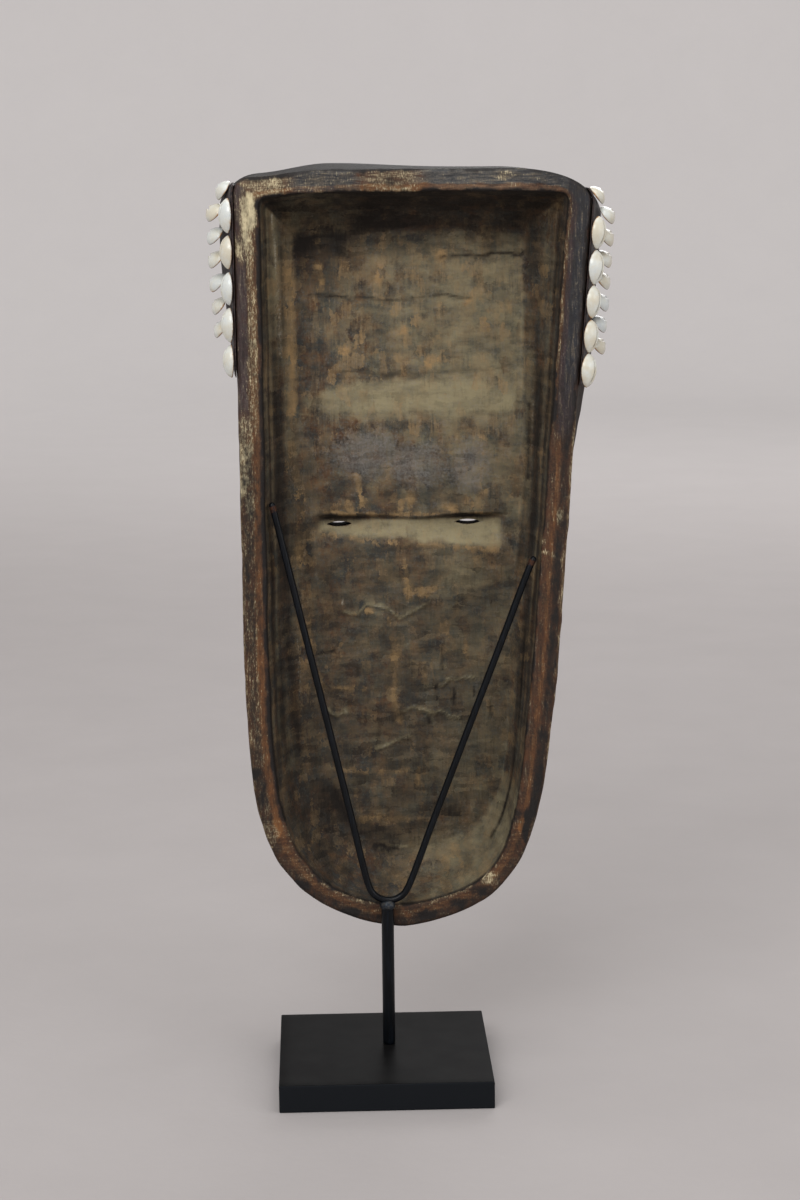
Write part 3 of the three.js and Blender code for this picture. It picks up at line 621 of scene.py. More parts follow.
x, y, z = mask_points.T
flat = mask_points * (1, 0, 1)
calm = 1 - 0.75 * smooth(440, 460, z) * (on_side | on_edge)
towards_rim = np.where(on_side, smooth(EDGE_DEPTH, 20, forward_depth), 1) * ~(on_face | on_floor)
towards_rim *= np.where(on_wall, smooth(1, 0.2, wall_part), 1)
waver = 0.55 * patches(flat, 38, 1) + 0.3 * patches(flat, 12, 2)
gouges = patches(mask_points, (150, 7.5, 150), 3) + 0.5 * patches(mask_points, (60, 3.6, 60), 4)
in_wall = on_wall * smooth(0, 0.12, wall_part) * smooth(1, 0.85, wall_part)
push = waver * towards_rim * calm + 0.8 * gouges * in_wall
push += 0.3 * patches(mask_points, (60, 60, 9), 5) * on_side * calm * smooth(EDGE_DEPTH, 38, forward_depth)
x = x + direction_x * push
z = z + direction_z * push
wobbly = (
    x + 1.5 * patches(mask_points, 8, 11) + 0.9 * patches(mask_points, 3, 12),
    z + 1.5 * patches(mask_points, 8, 13) + 0.9 * patches(mask_points, 3, 14),
)


def facets(size, seed, levels=3):
    """Flat patches at a few levels with steep borders, as the cuts of a broad blade leave them."""
    return np.round(levels * patches(mask_points, size, seed)) / levels


below_step = smooth(466, 455, wobbly[1]) * smooth(70, 45, np.abs(x + 24))
relief = -1.6 * below_step * smooth(395, 430, z)
forehead_cuts = 0.35 * patches(mask_points, (13, 60, 75), 6) + 0.5 * facets((13, 60, 17), 17)
jaw_cuts = 0.35 * patches(mask_points, (32, 60, 9), 7) + 0.3 * facets((24, 60, 8), 18)
relief += forehead_cuts * smooth(360, 400, z) + jaw_cuts * smooth(360, 330, z)
relief += 0.2 * patches(mask_points, (26, 60, 2.6), 8)
cut_lines = [(crack, 1.7, 0.7) for crack in CRACKS + BROW_STEPS] + [(SCARP, 3.5, 0.7)]
relief += strokes(cut_lines + [(tear, 2.2, -1.0) for tear in TEARS], join=np.add)
relief += strokes([(tear, 2.6, 0.9) for tear in TEARS], (wobbly[0], wobbly[1] + 3), np.add)
calm_edge = smooth(1, 0.93, np.abs(floor_u)) * smooth(0, 0.05, floor_v) * smooth(1, 0.97, floor_v)
away_from_edge = np.zeros(len(mask_points))
away_from_edge[on_floor] = calm_edge.ravel()
y = y - relief * away_from_edge
chips = smooth(0.35, 0.9, patches(mask_points, 5, 9) + 0.35 * patches(mask_points, 14, 10))
arris = smooth(0.14, 0, across_rim) + smooth(0.88, 1, across_rim)
sunken = 0.25 + 0.25 * patches(flat, 24, 15) + 0.15 * patches(mask_points, 3, 16) + 1.0 * chips * arris
y = y - sunken * rim_ring * np.where(on_edge | on_lip, 0.7, 1)
mask_points = np.stack([x, y, z], -1)

# How much of each thing lies on the wood: dust, wood laid bare, soot, cream filler, chalk, paint,
# clay; soot also carries painted shade, bare wood and cream painted highlights. "cool" is the blue
# in the paint, "level" the places where its threads lie crosswise.
left = x > midline(z)
across = np.abs(x - midline(z))
to_left = smooth(-45, 30, x)
to_right = smooth(20, -70, x)
ceiling = on_wall & at_top
left_wall = on_wall & ~at_top & left
right_wall = on_wall & ~at_top & ~left
streaky = 0.5 + 0.5 * patches(mask_points, (5, 20, 26), 21)
blotchy = 0.5 + 0.5 * patches(mask_points, 11, 22)
broad = 0.5 + 0.5 * patches(mask_points, 40, 23)
down_wall = (wall_part * HOLLOW_DEPTH + 0.8 * patches(mask_points, (30, 9, 30), 24), z)
running_down = patches(np.stack([wall_part * HOLLOW_DEPTH, 0 * z, z], -1), (4.5, 50, 110), 25)
running_down *= (left_wall | right_wall) * smooth(180, 260, z)

# Dust in the hollow: olive above the brow, thick on the bulge below the step and on the ledge
# under the trough, thin lower down, and pale on the torn grain
LEDGE_LOW = {-84: 345, -17: 353, 37: 356}
ledge_low = np.interp(x, list(LEDGE_LOW), list(LEDGE_LOW.values()))
ledge = smooth(-3.5, 4.5, wobbly[1] - ledge_low + 3 * (blotchy - 0.5)) * smooth(368, 365, z)
ledge *= between(*TROUGH_ENDS, 3, 4, x)
bulge = smooth(0, 5, 463 - 11 * np.clip(np.abs(x + 24) / 66, 0, 1) ** 5 - wobbly[1])
bulge *= smooth(430, 444, wobbly[1] + 4 * (blotchy - 0.5)) * smooth(74, 66, np.abs(x + 24))
high_dust = 0.3 + 0.2 * to_right - 0.2 * smooth(10, 55, x)
low_dust = 0.22 + 0.12 * to_right + 0.3 * smooth(160, 135, z) * (0.1 + 1.3 * to_right)
dust = np.select([z > 440, z < 350], [high_dust, low_dust], 0.2 + 0.16 * to_right)
dust += 0.36 * bulge + 0.16 * (broad - 0.5) + 0.3 * patch(wobbly, (-60, 326), (26, 18))
dust = np.maximum(dust, (0.5 + 0.3 * blotchy + 0.14 * to_right) * ledge)
dust = np.maximum(dust, on_floor * strokes([(tear, 2.8, 0.76) for tear in TEARS]))
wall_dust = 0.12 + 0.16 * broad + 0.22 * to_left * smooth(430, 540, z) + 0.2 * running_down
jaw_dust = 0.1 + 0.44 * to_right + 0.2 * (blotchy - 0.5)
ceiling_dust = 0.1 + 0.3 * patch((x, z), (38, 570), (46, 60))
dust = np.select([ceiling, on_wall & (z < 190), on_wall], [ceiling_dust, jaw_dust, wall_dust], dust)

# Wood laid bare in the hollow, where flakes have come off: ovals, and lines along edges and grain;
# and a painted highlight along the edge where the left wall meets the floor
BARE_MARKS = [
    ((35, 551), (5, 7), 0.6), ((36, 538), (5, 6), 0.6), ((33, 523), (5, 8), 0.6), ((-5, 531), (4, 12), 0.6),
    ((-62, 514), (5, 7), 0.6), ((-46, 543), (6, 6), 0.6), ((-46, 506), (5, 15), 0.6),
    ((-38, 474), (9, 7), 0.6), ((-20, 494), (12, 5), 0.6), ((20, 482), (9, 5), 0.6),
    ((17, 376), (5, 8), 0.6), ((-17, 378), (4, 10), 0.6), ((-24, 381), (6, 11), 0.6),
    ((-50, 373), (8, 6), 0.6), ((-70, 378), (5, 9), 0.6), ((24, 283), (4, 4), 0.6), ((9, 157), (4, 4), 0.6),
    ((9, 303), (14, 4), 0.6), ((-12, 297), (6, 7), 0.6), ((-31, 318), (14, 4), 0.6),
    ([(-19.5, 338), (-22, 322)], 4.5, 0.8), ([(-22, 324), (-23, 314)], 7, 0.78),
    ([(-26, 317), (-34, 316)], 6, 0.66), ([(-34, 317), (-46, 320)], 3.4, 0.5),
    ([(-11, 284), (-12, 255), (-14, 228)], 5.5, 0.56), ([(-27, 193), (-27, 183)], 3, 0.8),
    ([(34, 372), (-20, 370), (-78, 370)], 2.6, 0.62), ([(-60, 290), (-62, 272)], 4, 0.6),
    ([(40, 253), (8, 250)], 4, 0.5), ([(30, 195), (-30, 190)], 5, 0.48), ([(20, 160), (-40, 158)], 5, 0.5),
    ([(35, 357), (-17, 350), (-82, 345)], 5, 0.5), ([(-16, 350), (-17, 338)], 8, 0.5),
    ([(12, 398), (8, 376)], 5, 0.5), ([(-70, 420), (-74, 385)], 5, 0.45),
]
LEFT_EDGE_HIGHLIGHT = [(48.6, 550), (49.14, 440)]
bare_and_highlight = np.maximum(0.06 * smooth(440, 470, z) + 0.1, strokes(BARE_MARKS)) * on_floor + 0.16 * on_wall
# Painted highlight: a pale line where the left wall meets the floor, also kept free of soot
left_edge_highlight = strokes([(LEFT_EDGE_HIGHLIGHT, 4, 0.85), ([(48.6, 420), (48.6, 260)], 4, 0.55)], down_wall)
right_bare = strokes([([(16.2, 560), (18.9, 430)], 5, 0.5)], down_wall)
bare_and_highlight = np.maximum(bare_and_highlight, left_wall * left_edge_highlight + right_wall * right_bare)

# Soot and painted shade in the hollow: painted shade darkens the ceiling, the top of the floor under
# it, the floor beside the left wall, the trough round the eye slits and a ridge and a groove on the
# right wall; soot lies in the corners and cracks and over the jaw
LEFT_STREAK = [(33.48, 572), (37.8, 530), (38.88, 480)]
SOOT_LINES = [
    ([(-41, 252), (-41, 243)], 1.8, 0.3), ([(-44, 262), (-44, 280)], 1.6, 0.3),
    ([(-52, 249), (-52, 238)], 1.8, 0.3), ([(-77, 241), (-78, 230)], 2, 0.3),
    ([(-34, 229), (-35, 226)], 2.6, 0.3), ([(-66, 250), (-66, 244)], 1.5, 0.3),
]
EYES_X = [midline(EYE_Z) + side * EYE_SPACING / 2 for side in (1, -1)]
soot_and_shade = 0.12 + 0.16 * smooth(440, 380, z) + 0.1 * smooth(350, 320, z) + 0.2 * (1 - broad) * smooth(430, 400, z)
# Painted shade: darker at the top of the floor, under the ceiling, and on the floor beside the left wall
soot_and_shade += 0.45 * smooth(536, 558, z) + 0.3 * smooth(30, 58, x) * smooth(380, 470, z)
soot_and_shade += 0.12 * (broad - 0.5) + 0.2 * (blotchy - 0.5) - 0.14 * smooth(165, 140, z) * to_right
soot_and_shade += strokes([
    ((36, 545), (44, 30), 0.36), ((42, 152), (30, 46), 0.42), ((-20, 200), (60, 40), 0.1),
    ([(44, 176), (26, 156), (4, 150), (-22, 152), (-46, 164)], 14, 0.22),
], join=np.add)
soot_and_shade *= 1 - 0.95 * ledge
wall_soot_and_shade = 0.36 + 0.12 * smooth(480, 440, z) * smooth(300, 380, z) + 0.24 * (1 - streaky)
wall_soot_and_shade += to_left * (0.1 * smooth(420, 300, z) * smooth(150, 200, z) - 0.1 * smooth(470, 550, z))
wall_soot_and_shade -= 0.16 * to_right * smooth(190, 150, z) + 0.24 * running_down
wall_soot_and_shade -= left_wall * strokes([(LEFT_STREAK, 3.6, 0.4), (LEFT_EDGE_HIGHLIGHT, 4, 0.3)], down_wall)
# Painted shade on the right wall: a dark line beside a ridge, and a dark line down a groove
wall_soot_and_shade += right_wall * strokes([
    ([(46.98, 445), (46.98, 395)], 2.2, 0.35),
    ([(31.32, 315), (33.48, 250), (35.64, 190), (37.8, 150)], 2.4, 0.6),
], down_wall)
floor_marks = [(crack, 2, 0.5) for crack in CRACKS] + [(step, 2, 0.26) for step in BROW_STEPS]
# Painted shade round each eye slit, where the trough runs deep
floor_marks += [((eye_x, EYE_Z + 3), (26, 6), 0.5) for eye_x in EYES_X]
soot_and_shade += strokes(SOOT_LINES + floor_marks, join=np.add)
soot_and_shade = np.where(on_wall, wall_soot_and_shade, soot_and_shade) + 0.2 * patch(wobbly, (38, 158), (22, 42))
# Painted shade: the ceiling faces down and is made nearly black
ceiling_shade = 0.9 - 0.16 * to_right - 0.22 * patch((x, z), (38, 575), (44, 60)) + 0.2 * (broad - 0.5)
soot_and_shade = np.clip(np.where(ceiling, ceiling_shade, soot_and_shade), 0, 1) * smooth(0, 0.1, wall_part)

# Splashes of cream filler on the floor and down the walls, a painted highlight along a ridge on the
# right wall, and three faint hazes of chalk
FLOOR_CREAM = [((23, 311), (1.8, 5), 0.5), ([(20, 124), (-12, 121), (-62, 128)], 7, 0.34)]
FLOOR_CREAM += [(tear, 2.2, 0.3) for tear in TEARS]
CHALK = [((6, 411), (34, 24), 1), ((-30, 404), (34, 22), 1), ((-64, 402), (20, 26), 1)]
cream_and_highlight = on_floor * strokes(FLOOR_CREAM)
cream_and_highlight += left_wall * strokes([(LEFT_STREAK, 2.6, 0.6), ([(43.2, 300), (43.2, 250)], 3, 0.25)], down_wall)
# Painted highlight along a ridge on the right wall
cream_and_highlight += right_wall * strokes([([(44.82, 462), (44.82, 350)], 2.2, 0.6)], down_wall)
chalk = on_floor * (0.4 + 0.2 * blotchy) * strokes(CHALK)

# The rim: purple-brown and blue-black paint worn in strips down to filler, brown wood and varnish,
# and a painted highlight along the inner edge of the chin
on_left = rim_ring & left & ~at_top & ~at_chin
on_right = rim_ring & ~left & ~at_top & ~at_chin
on_top = rim_ring & at_top
on_chin = rim_ring & (at_chin | (z < 175))
wavy_across = across_rim + 0.05 * patches(flat, 9, 31) + 0.03 * patches(flat, 3, 32)
high_up = smooth(415, 450, z + 12 * patches(flat, 12, 33))
low_down = (on_left | on_right) * (1 - high_up)


def strip(low, high, soft=0.04):
    """1 in a strip along the rim between two shares of its width, from its outer edge."""
    return rim_ring * between(low, high, soft, soft, wavy_across)


def at_x(low, high, soft=4):
    """1 between two places along X."""
    return between(low, high, soft, soft, wobbly[0])


paint = on_left * high_up * (0.62 * strip(-1, 0.42) + 0.3 * strip(0.42, 0.8))
paint += on_right * high_up * (0.95 * strip(0.12, 0.7) + 0.5 * strip(-1, 0.12) + 0.6 * strip(0.7, 0.9))
paint += low_down * (0.3 * strip(0.05, 0.45) + 0.34 * strip(0.86, 2))
paint += on_top * (0.85 * at_x(10, 52, 7) + 0.25 * at_x(52, 140) + 0.22 * at_x(-30, 10))
paint += on_top * at_x(-200, -30, 14) * (0.8 - 0.45 * strip(0.7, 2))
cool = on_top * np.maximum(at_x(6, 56), at_x(-200, -26)) + on_right * strip(0.12, 0.62) * smooth(430, 480, z)

rim_cream_and_highlight = on_left * (0.34 * strip(0.4, 0.85) * high_up + 0.22 * strip(0.1, 0.6) * (1 - high_up))
rim_cream_and_highlight += on_left * strokes([
    ((80, 573), (8, 22), 0.8), ((84, 552), (6, 14), 0.6), ((82, 386), (5, 9), 0.5),
    ((87, 400), (4, 16), 0.5), ((85, 428), (7, 26), 0.4),
], join=np.add)
rim_cream_and_highlight += on_top * (0.42 * at_x(54, 84, 9) + 0.16 * at_x(10, 52) + 0.34 * at_x(-30, 4, 10))
rim_cream_and_highlight += on_top * 0.06 * at_x(-118, -34)
rim_cream_and_highlight += on_top * strokes([((63, 594), (7, 6), 0.2), ((-86, 596), (10, 4), 0.4)])
rim_cream_and_highlight += on_right * (0.3 * strip(0.88, 0.97) * smooth(455, 475, z) + strokes([
    ((-119, 376), (4, 9), 0.5), ((-85, 145), (5, 7), 0.9),
    ([(-101, 358), (-112, 359)], 1.8, 0.6), ([(-107, 352), (-120, 348)], 1.8, 0.6),
]))
rim_cream_and_highlight += low_down * 0.34 * strip(-1, 0.08)
rim_cream_and_highlight += on_chin * (0.14 * blotchy + 0.5 * patch(wobbly, (-73, 131), (8, 6)))
# Painted highlight: a thin pale line along the inner edge of the chin, where it faces up to the light
rim_cream_and_highlight += on_chin * strip(0.92, 2, 0.02) * (0.26 * at_x(5, 42) + 0.3 * at_x(-62, -30))
rim_cream_and_highlight *= 0.82 + 0.4 * patches(mask_points, (2.6, 9, 11), 26) * ~on_top

rim_bare = on_left * (0.46 * strip(0.55, 0.86) + 0.2 * strip(0.4, 0.55) + 0.12 * (1 - high_up))
rim_bare += on_left * strokes([((86, 548), (7, 18), 0.3), ((82, 318), (4, 30), 0.3)])
rim_bare += on_right * ((1 - high_up) * 0.46 * strip(0.5, 0.74) + high_up * 0.42 * strip(0.9, 0.98))
rim_bare += on_right * 0.4 * patch(wobbly, (-100, 260), (5, 12)) + low_down * 0.24 * strip(-1, 0.1)
rim_bare += on_top * (0.42 * strip(0.66, 0.96) + 0.25 * at_x(52, 140) + 0.22 * at_x(-34, 9))
rim_bare += on_chin * 0.4 * strip(0.3, 0.85)

rim_soot = 0.28 + 0.24 * (1 - broad) + 0.4 * strip(0.97, 2, 0.02) + on_left * 0.35 * strip(0.92, 2, 0.02)
rim_soot += on_right * high_up * (0.12 + 0.5 * strip(0.06, 0.11, 0.02))
rim_soot += on_right * (1 - high_up) * 0.3 * strip(0.1, 0.45)
rim_soot += on_top * (0.55 * strip(-1, 0.09) + 0.35 * strip(0.93, 2))
rim_soot += on_top * 0.3 * patch(wobbly, (-12, 594), (5, 4))
SOOT_SPOTS = ((-51, 115), (-66, 123), (-30, 106), (55, 128), (22, 108), (86, 205), (-96, 175))
rim_soot += strokes([(centre, (9, 5), 0.4) for centre in SOOT_SPOTS])
rim_soot += 0.2 * smooth(240, 160, z) * strip(-1, 0.5)
rim_soot += on_left * 0.1 * (1 + strip(0.1, 0.5)) * (1 - high_up) * smooth(150, 200, z)
rim_dust = 0.1 * high_up * ~on_right + 0.14 * broad + 0.16 * on_top

# The outside: smoked dark brown, rubbed at its corners, with clay on the face up to the hairline
hairline = 452 - 0.0042 * across ** 2 - on_side * 1.1 * np.clip(66 - forward_depth, 0, 60)
clay = (on_face | (on_side & (forward_depth > 24))) * smooth(hairline + 3, hairline - 3, wobbly[1])
clay *= 0.62 + 0.5 * broad
clay *= np.where(on_side, smooth(26, 52, forward_depth + 14 * (blotchy - 0.5)), 1)
clay *= 1 - 0.6 * near(wobbly, [(k, brow_height(abs(k + 19))) for k in range(-115, 80, 6)], 9)
dark_features = [((eye_x, EYE_Z + 0.5), (19, 7), 0.85) for eye_x in EYES_X]
dark_features.append(((midline(MOUTH["z"]), MOUTH["z"]), (24, 6), 0.75))
face_soot = on_face * strokes(dark_features, (x, z)) + (on_face | on_side) * (0.34 + 0.24 * (1 - broad))
face_bare = on_face * 0.7 * smooth(0.6, 0.95, blotchy) * smooth(20, 6, across) * smooth(400, 380, z)
face_bare += on_side * (0.12 + 0.3 * smooth(0.5, 0.9, streaky)) * smooth(455, 430, z)

coats = {
    "dust": np.where(rim_ring, rim_dust, dust),
    "bare_and_highlight": np.where(rim_ring, np.clip(rim_bare, 0, 1), bare_and_highlight) + face_bare,
    "soot_and_shade": np.where(rim_ring, np.clip(rim_soot, 0, 1), soot_and_shade) + face_soot,
    "cream_and_highlight": np.where(rim_ring, np.clip(rim_cream_and_highlight, 0, 1), cream_and_highlight),
    "chalk": chalk,
    "paint": np.where(on_side, 0.9 * smooth(566, 585, z), paint),
    "cool": np.where(on_side, 0.7 * at_top, np.clip(cool, 0, 1)),
    "level": 1.0 * (on_top | on_chin),
    "clay": clay,
}


def lay(under, *layers):
    """Lays colours over another, each where the amount of a coat, broken up by a noise, passes a half.

    A layer is a colour, an amount (a pattern or the name of a coat), the noise, its reach and the
    softness of the border. The share that the last one covers comes back as well.
    """
    for colour, amount, broken, reach, soft in layers:
        if isinstance(amount, str):
            amount = add("ShaderNodeAttribute", attribute_name=amount).outputs["Fac"]
        if isinstance(colour, str):
            colour = linear(colour)
        uneven = add("ShaderNodeMath", {0: broken, 1: reach, 2: amount}, operation="MULTIPLY_ADD")
        middle = 0.5 + reach / 2
        limits = {"Value": uneven, "From Min": middle - soft, "From Max": middle + soft}
        share = add("ShaderNodeMapRange", limits, interpolation_type="SMOOTHSTEP").outputs["Result"]
        mixed = {"Factor_Float": share, "A_Color": under, "B_Color": colour}
        under = add("ShaderNodeMix", mixed, data_type="RGBA")
    return under, share


def tones(factor, *codes, reach=0.15):
    """A colour between several, evenly spaced over the usual reach of a noise round a half."""
    ramp = add("ShaderNodeValToRGB", {"Fac": factor})
    elements = ramp.color_ramp.elements
    for k, position in enumerate(np.linspace(0.5 - reach, 0.5 + reach, len(codes))):
        element = elements[0] if k == 0 else elements.new(position)
        element.position = position
        element.color = linear(codes[k])
    elements.remove(elements[-1])
    return ramp.outputs["Color"]


def total(*terms):
    """The sum of several patterns, each given with its weight."""
    result = 0.0
    for pattern, weight in terms:
        result = add("ShaderNodeMath", {0: pattern, 1: weight, 2: result}, operation="MULTIPLY_ADD")
    return result


def cuts(size, ragged=0.6):
    """Patches with straight but ragged sides, as a blade leaves them, each with a tone of its own."""
    stir = add("ShaderNodeTexNoise", {"Vector": place, "Scale": 420, "Detail": 4}).outputs["Color"]
    stretched = add("ShaderNodeMapping", {"Vector": place, "Scale": [1000 / s for s in size]})
    shaken = add("ShaderNodeVectorMath", {0: stir, 1: (ragged,) * 3, 2: stretched}, operation="MULTIPLY_ADD")
    return add("ShaderNodeTexVoronoi", {"Vector": shaken, "Scale": 1}, distance="CHEBYCHEV").outputs["Color"]


# Bare softwood, adzed and never sealed: dry and matt, brown with age, its upright grain and the
# marks of the blade across it full of fine grey-olive dust, and orange where a flake has come off
# Its soot layer also darkens places as painted shade, its bare and cream layers also lighten lines as painted
# highlights
hollow_wood = new_material("adzed_softwood")
upright = noise((1.7, 4, 19), detail=5, rough=0.6, distortion=0.7)
crosswise = noise((13, 8, 2.4), detail=5, rough=0.6, distortion=0.9)
speckle = noise(1.8, detail=4, rough=0.7)
smear = noise((7, 12, 9), detail=6, rough=0.7)
cut = cuts((8, 30, 12))
fine_cut = cuts((11, 30, 3.4), 0.9)
flake = cuts((6, 30, 9), 0.8)
warmth = noise((16, 14, 7), detail=5, rough=0.65)
mottle = total((upright, 0.27), (crosswise, 0.08), (smear, 0.43), (cut, 0.17), (fine_cut, 0.05))
wood, _ = lay(
    tones(mottle, "#2c241d", "#463b2f", "#625746", "#7d6f58", reach=0.125),
    ("#69462a", warmth, speckle, 0.5, 0.2),
    ("#353938", noise((9, 9, 18), detail=5, rough=0.65), speckle, 0.6, 0.2),
    ("#968c6d", "dust", total((mottle, 0.6), (warmth, 0.4)), 2.4, 0.5),
    ("#9d8159", "bare_and_highlight", total((flake, 0.36), (upright, 0.36), (speckle, 0.28)), 2.2, 0.36),
    ("#bdb7a4", "cream_and_highlight", total((speckle, 0.6), (crosswise, 0.4)), 1.8, 0.3),
    ("#85817b", "chalk", total((smear, 0.4), (speckle, 0.6)), 2.6, 0.6),
    ("#19130e", "soot_and_shade", total((smear, 0.45), (upright, 0.35), (fine_cut, 0.2)), 1.6, 0.5),
)
surface_marks = total(
    (upright, 0.5), (crosswise, 0.4), (smear, 0.4), (speckle, 0.3), (cut, 0.1), (fine_cut, 0.12))
finish(wood, (0.78, 0.9, speckle), surface_marks, 0.8, Specular_IOR_Level=0.3)

# Old paint on the rim: purple-brown and blue-black, thin and handled, a little greasy, worn to
# a pale filler and to brown wood along the arrises, in threads that follow the grain
rim_paint = new_material("worn_rim_paint")
speckle = noise(1.5, detail=5, rough=0.7)
smear = noise((4, 6, 8), detail=5, rough=0.62)
threads = add("ShaderNodeMix", {
    "Factor_Float": add("ShaderNodeAttribute", attribute_name="level").outputs["Fac"],
    "A_Float": noise((1.8, 3, 15), detail=5, rough=0.62, distortion=0.4),
    "B_Float": noise((14, 3, 2), detail=5, rough=0.62, distortion=0.4),
}, data_type="FLOAT")
fine_threads = total((threads, 0.35), (noise((0.9, 2, 2.6), detail=4, rough=0.7), 0.65))
broken = total((threads, 0.5), (speckle, 0.2), (smear, 0.3))
painted = add("ShaderNodeMix", {
    "Factor_Float": add("ShaderNodeAttribute", attribute_name="cool").outputs["Fac"],
    "A_Color": tones(broken, "#271d20", "#3b2d30", "#504041"),
    "B_Color": tones(broken, "#191a1e", "#2c2e34", "#4c4e52"),
}, data_type="RGBA")
wood, covered = lay(
    tones(total((smear, 0.5), (speckle, 0.5)), "#22170f", "#3a281b", "#533c28"),
    ("#5a3820", noise((5, 5, 12), detail=4), speckle, 0.6, 0.3),
    (painted, "paint", broken, 1.6, 0.22),
)
# The cream layers also carry the painted highlight along the chin's inner edge
wood, filled = lay(
    wood,
    ("#7c7a72", "dust", broken, 1.8, 0.4),
    ("#7d5029", "bare_and_highlight", broken, 2.2, 0.34),
    ("#8b7350", "cream_and_highlight", broken, 3, 0.6),
    ("#d8caa4", "cream_and_highlight", fine_threads, 3.4, 0.3),
)
wood, _ = lay(wood, ("#15100e", "soot_and_shade", smear, 1.2, 0.4))
surface_marks = total((threads, 0.5), (speckle, 0.6), (covered, 0.2), (filled, 0.15))
finish(wood, (0.72, 0.52, covered), surface_marks, 0.6, Specular_IOR_Level=0.35)

# Smoked and handled outside: nearly black brown with a dull shine, and on the face white clay
# rubbed into it with the fingers, thin on what stands out and thick in what lies deep
smoked_wood = new_material("smoked_wood_with_clay")
speckle = noise(1.5, detail=5, rough=0.7)
smear = noise((6, 6, 14), detail=5, rough=0.6)
upright = noise((1.2, 1.2, 28), detail=4)
broken = total((speckle, 0.4), (smear, 0.35), (upright, 0.25))
wood, clayed = lay(
    tones(total((upright, 0.5), (smear, 0.5)), "#1e1713", "#33281f", "#49392c"),
    ("#7c5a37", "bare_and_highlight", broken, 1.2, 0.3),
    ("#201f1e", "paint", broken, 0.8, 0.3),
    ("#c9c0aa", "clay", broken, 1.6, 0.35),
)
wood, _ = lay(wood, ("#17110e", "soot_and_shade", broken, 1.0, 0.35))
surface_marks = total((upright, 0.4), (speckle, 0.6), (clayed, 0.5))
finish(wood, (0.66, 0.85, clayed), surface_marks, 0.4, Specular_IOR_Level=0.12)


def store(mesh, **amounts):
    """Keeps numbers on the points of a mesh, each kind under its name."""
    for name, values in amounts.items():
        mesh.attributes.new(name, "FLOAT", "POINT").data.foreach_set("value", values)


def apply(obj, modifier):
    """Leaves what a modifier makes as the object's plain mesh, and takes the modifier off."""
    bpy.context.view_layer.update()
    depsgraph = bpy.context.evaluated_depsgraph_get()
    evaluated = obj.evaluated_get(depsgraph)
    mesh = bpy.data.meshes.new_from_object(evaluated, preserve_all_data_layers=True, depsgraph=depsgraph)
    obj.modifiers.remove(modifier)
    obj.data = mesh


grid_faces, grid_edge = grid(GRID_UP, GRID_ACROSS)
floor_start = len(mask_points) - len(floor_points)
loop_numbers = np.arange(len(face_points), floor_start).reshape(-1, edge_length)
rings = [grid_edge, *loop_numbers, grid_edge + floor_start]
mask_woods = [hollow_wood, rim_paint, smoked_wood]
wood_number = {"face": 2, "side": 2, "edge": 1, "rim": 1, "lip": 1, "wall": 0, "floor": 0}
mask_faces = [grid_faces]
slots = [np.full(len(grid_faces), wood_number["face"])]
for one, other, name in zip(rings, rings[1:], [*loop_names, "floor"]):
    mask_faces.append(np.stack([np.roll(one, -1), one, other, np.roll(other, -1)], -1))
    slots.append(np.full(edge_length, wood_number[name]))
mask_faces.append(grid_faces[:, ::-1] + floor_start)
slots.append(np.full(len(grid_faces), wood_number["floor"]))
mask_faces = np.concatenate(mask_faces)
mask = mesh_object("carved_mask", mask_points, mask_faces, mask_woods, np.concatenate(slots))
store(mask.data, **{name: np.clip(amount, 0, 1.3) for name, amount in coats.items()})

# The eye slits, cut through with a thin blade that slants up a little towards the face; their
# walls are near black, painted shade for the dark inside of the narrow cut
SLIT_HALF = 8.25
SLIT_HALF_HEIGHT = 1.7
SLIT_POINTS = 15
SLIT_SPAN = (50, 120)
SLIT_LEVEL = 65
SLIT_SLANTS = (6.8, 3.4)
SLIT_POINTEDNESS = 0.8
slit_shade_black = new_material("slit_wood_in_painted_shade")
crust = noise(1.5, detail=4)
finish(tones(crust, "#050403", "#0d0a08", "#17120e", reach=0.2), 0.95, crust, 0.1, Specular_IOR_Level=0.02)
for eye_x, slant in zip(EYES_X, SLIT_SLANTS):
    bow = np.linspace(-1, 1, SLIT_POINTS)
    upper = list(zip(SLIT_HALF * bow, SLIT_HALF_HEIGHT * (1 - bow * bow) ** SLIT_POINTEDNESS))
    lens = upper + [(slit_x, -slit_z) for slit_x, slit_z in upper[-2:0:-1]]
    corners = []
    for depth in SLIT_SPAN:
        middle_z = EYE_Z + slant * (depth - SLIT_LEVEL) / (SLIT_SPAN[1] - SLIT_LEVEL)
        corners += [(eye_x + slit_x, RIM_Y - depth, middle_z + slit_z) for slit_x, slit_z in lens]
    count = len(lens)
    sides = [(k, count + k, count + (k + 1) % count, (k + 1) % count) for k in range(count)]
    ends = [tuple(range(count)), tuple(range(count, 2 * count))[::-1]]
    cutter = mesh_object("slit_cutter", corners, sides + ends, [slit_shade_black])
    cut_out = mask.modifiers.new("slit", "BOOLEAN")
    cut_out.object = cutter
    cut_out.operation = "DIFFERENCE"
    cut_out.material_mode = "TRANSFER"
    apply(mask, cut_out)
    bpy.data.objects.remove(cutter)

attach(mask, "root")
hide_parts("mask")

# Temple bands: a strap of thick dark leather fixed to each side wall at the temples,
# the ground on which the shells are sewn. Cut by hand, so its edges waver, dry and cracked with age.
BAND_THICKNESS = 1.3
BAND_BACK_DEPTH = 0.6
BAND_LIFT = 0.6
BAND_FRONT_DEPTH = 40
BAND_EASE = 1.4
BAND_WAVER = 0.7
BAND_Z = {1: (470, 592), -1: (461, 587)}
BAND_ROWS = 90
BAND_COLUMNS = 34
BAND_ROW_POWER = 1.4
SIDE_NAME = {1: "left", -1: "right"}
SLOPE_STEP = 1.5


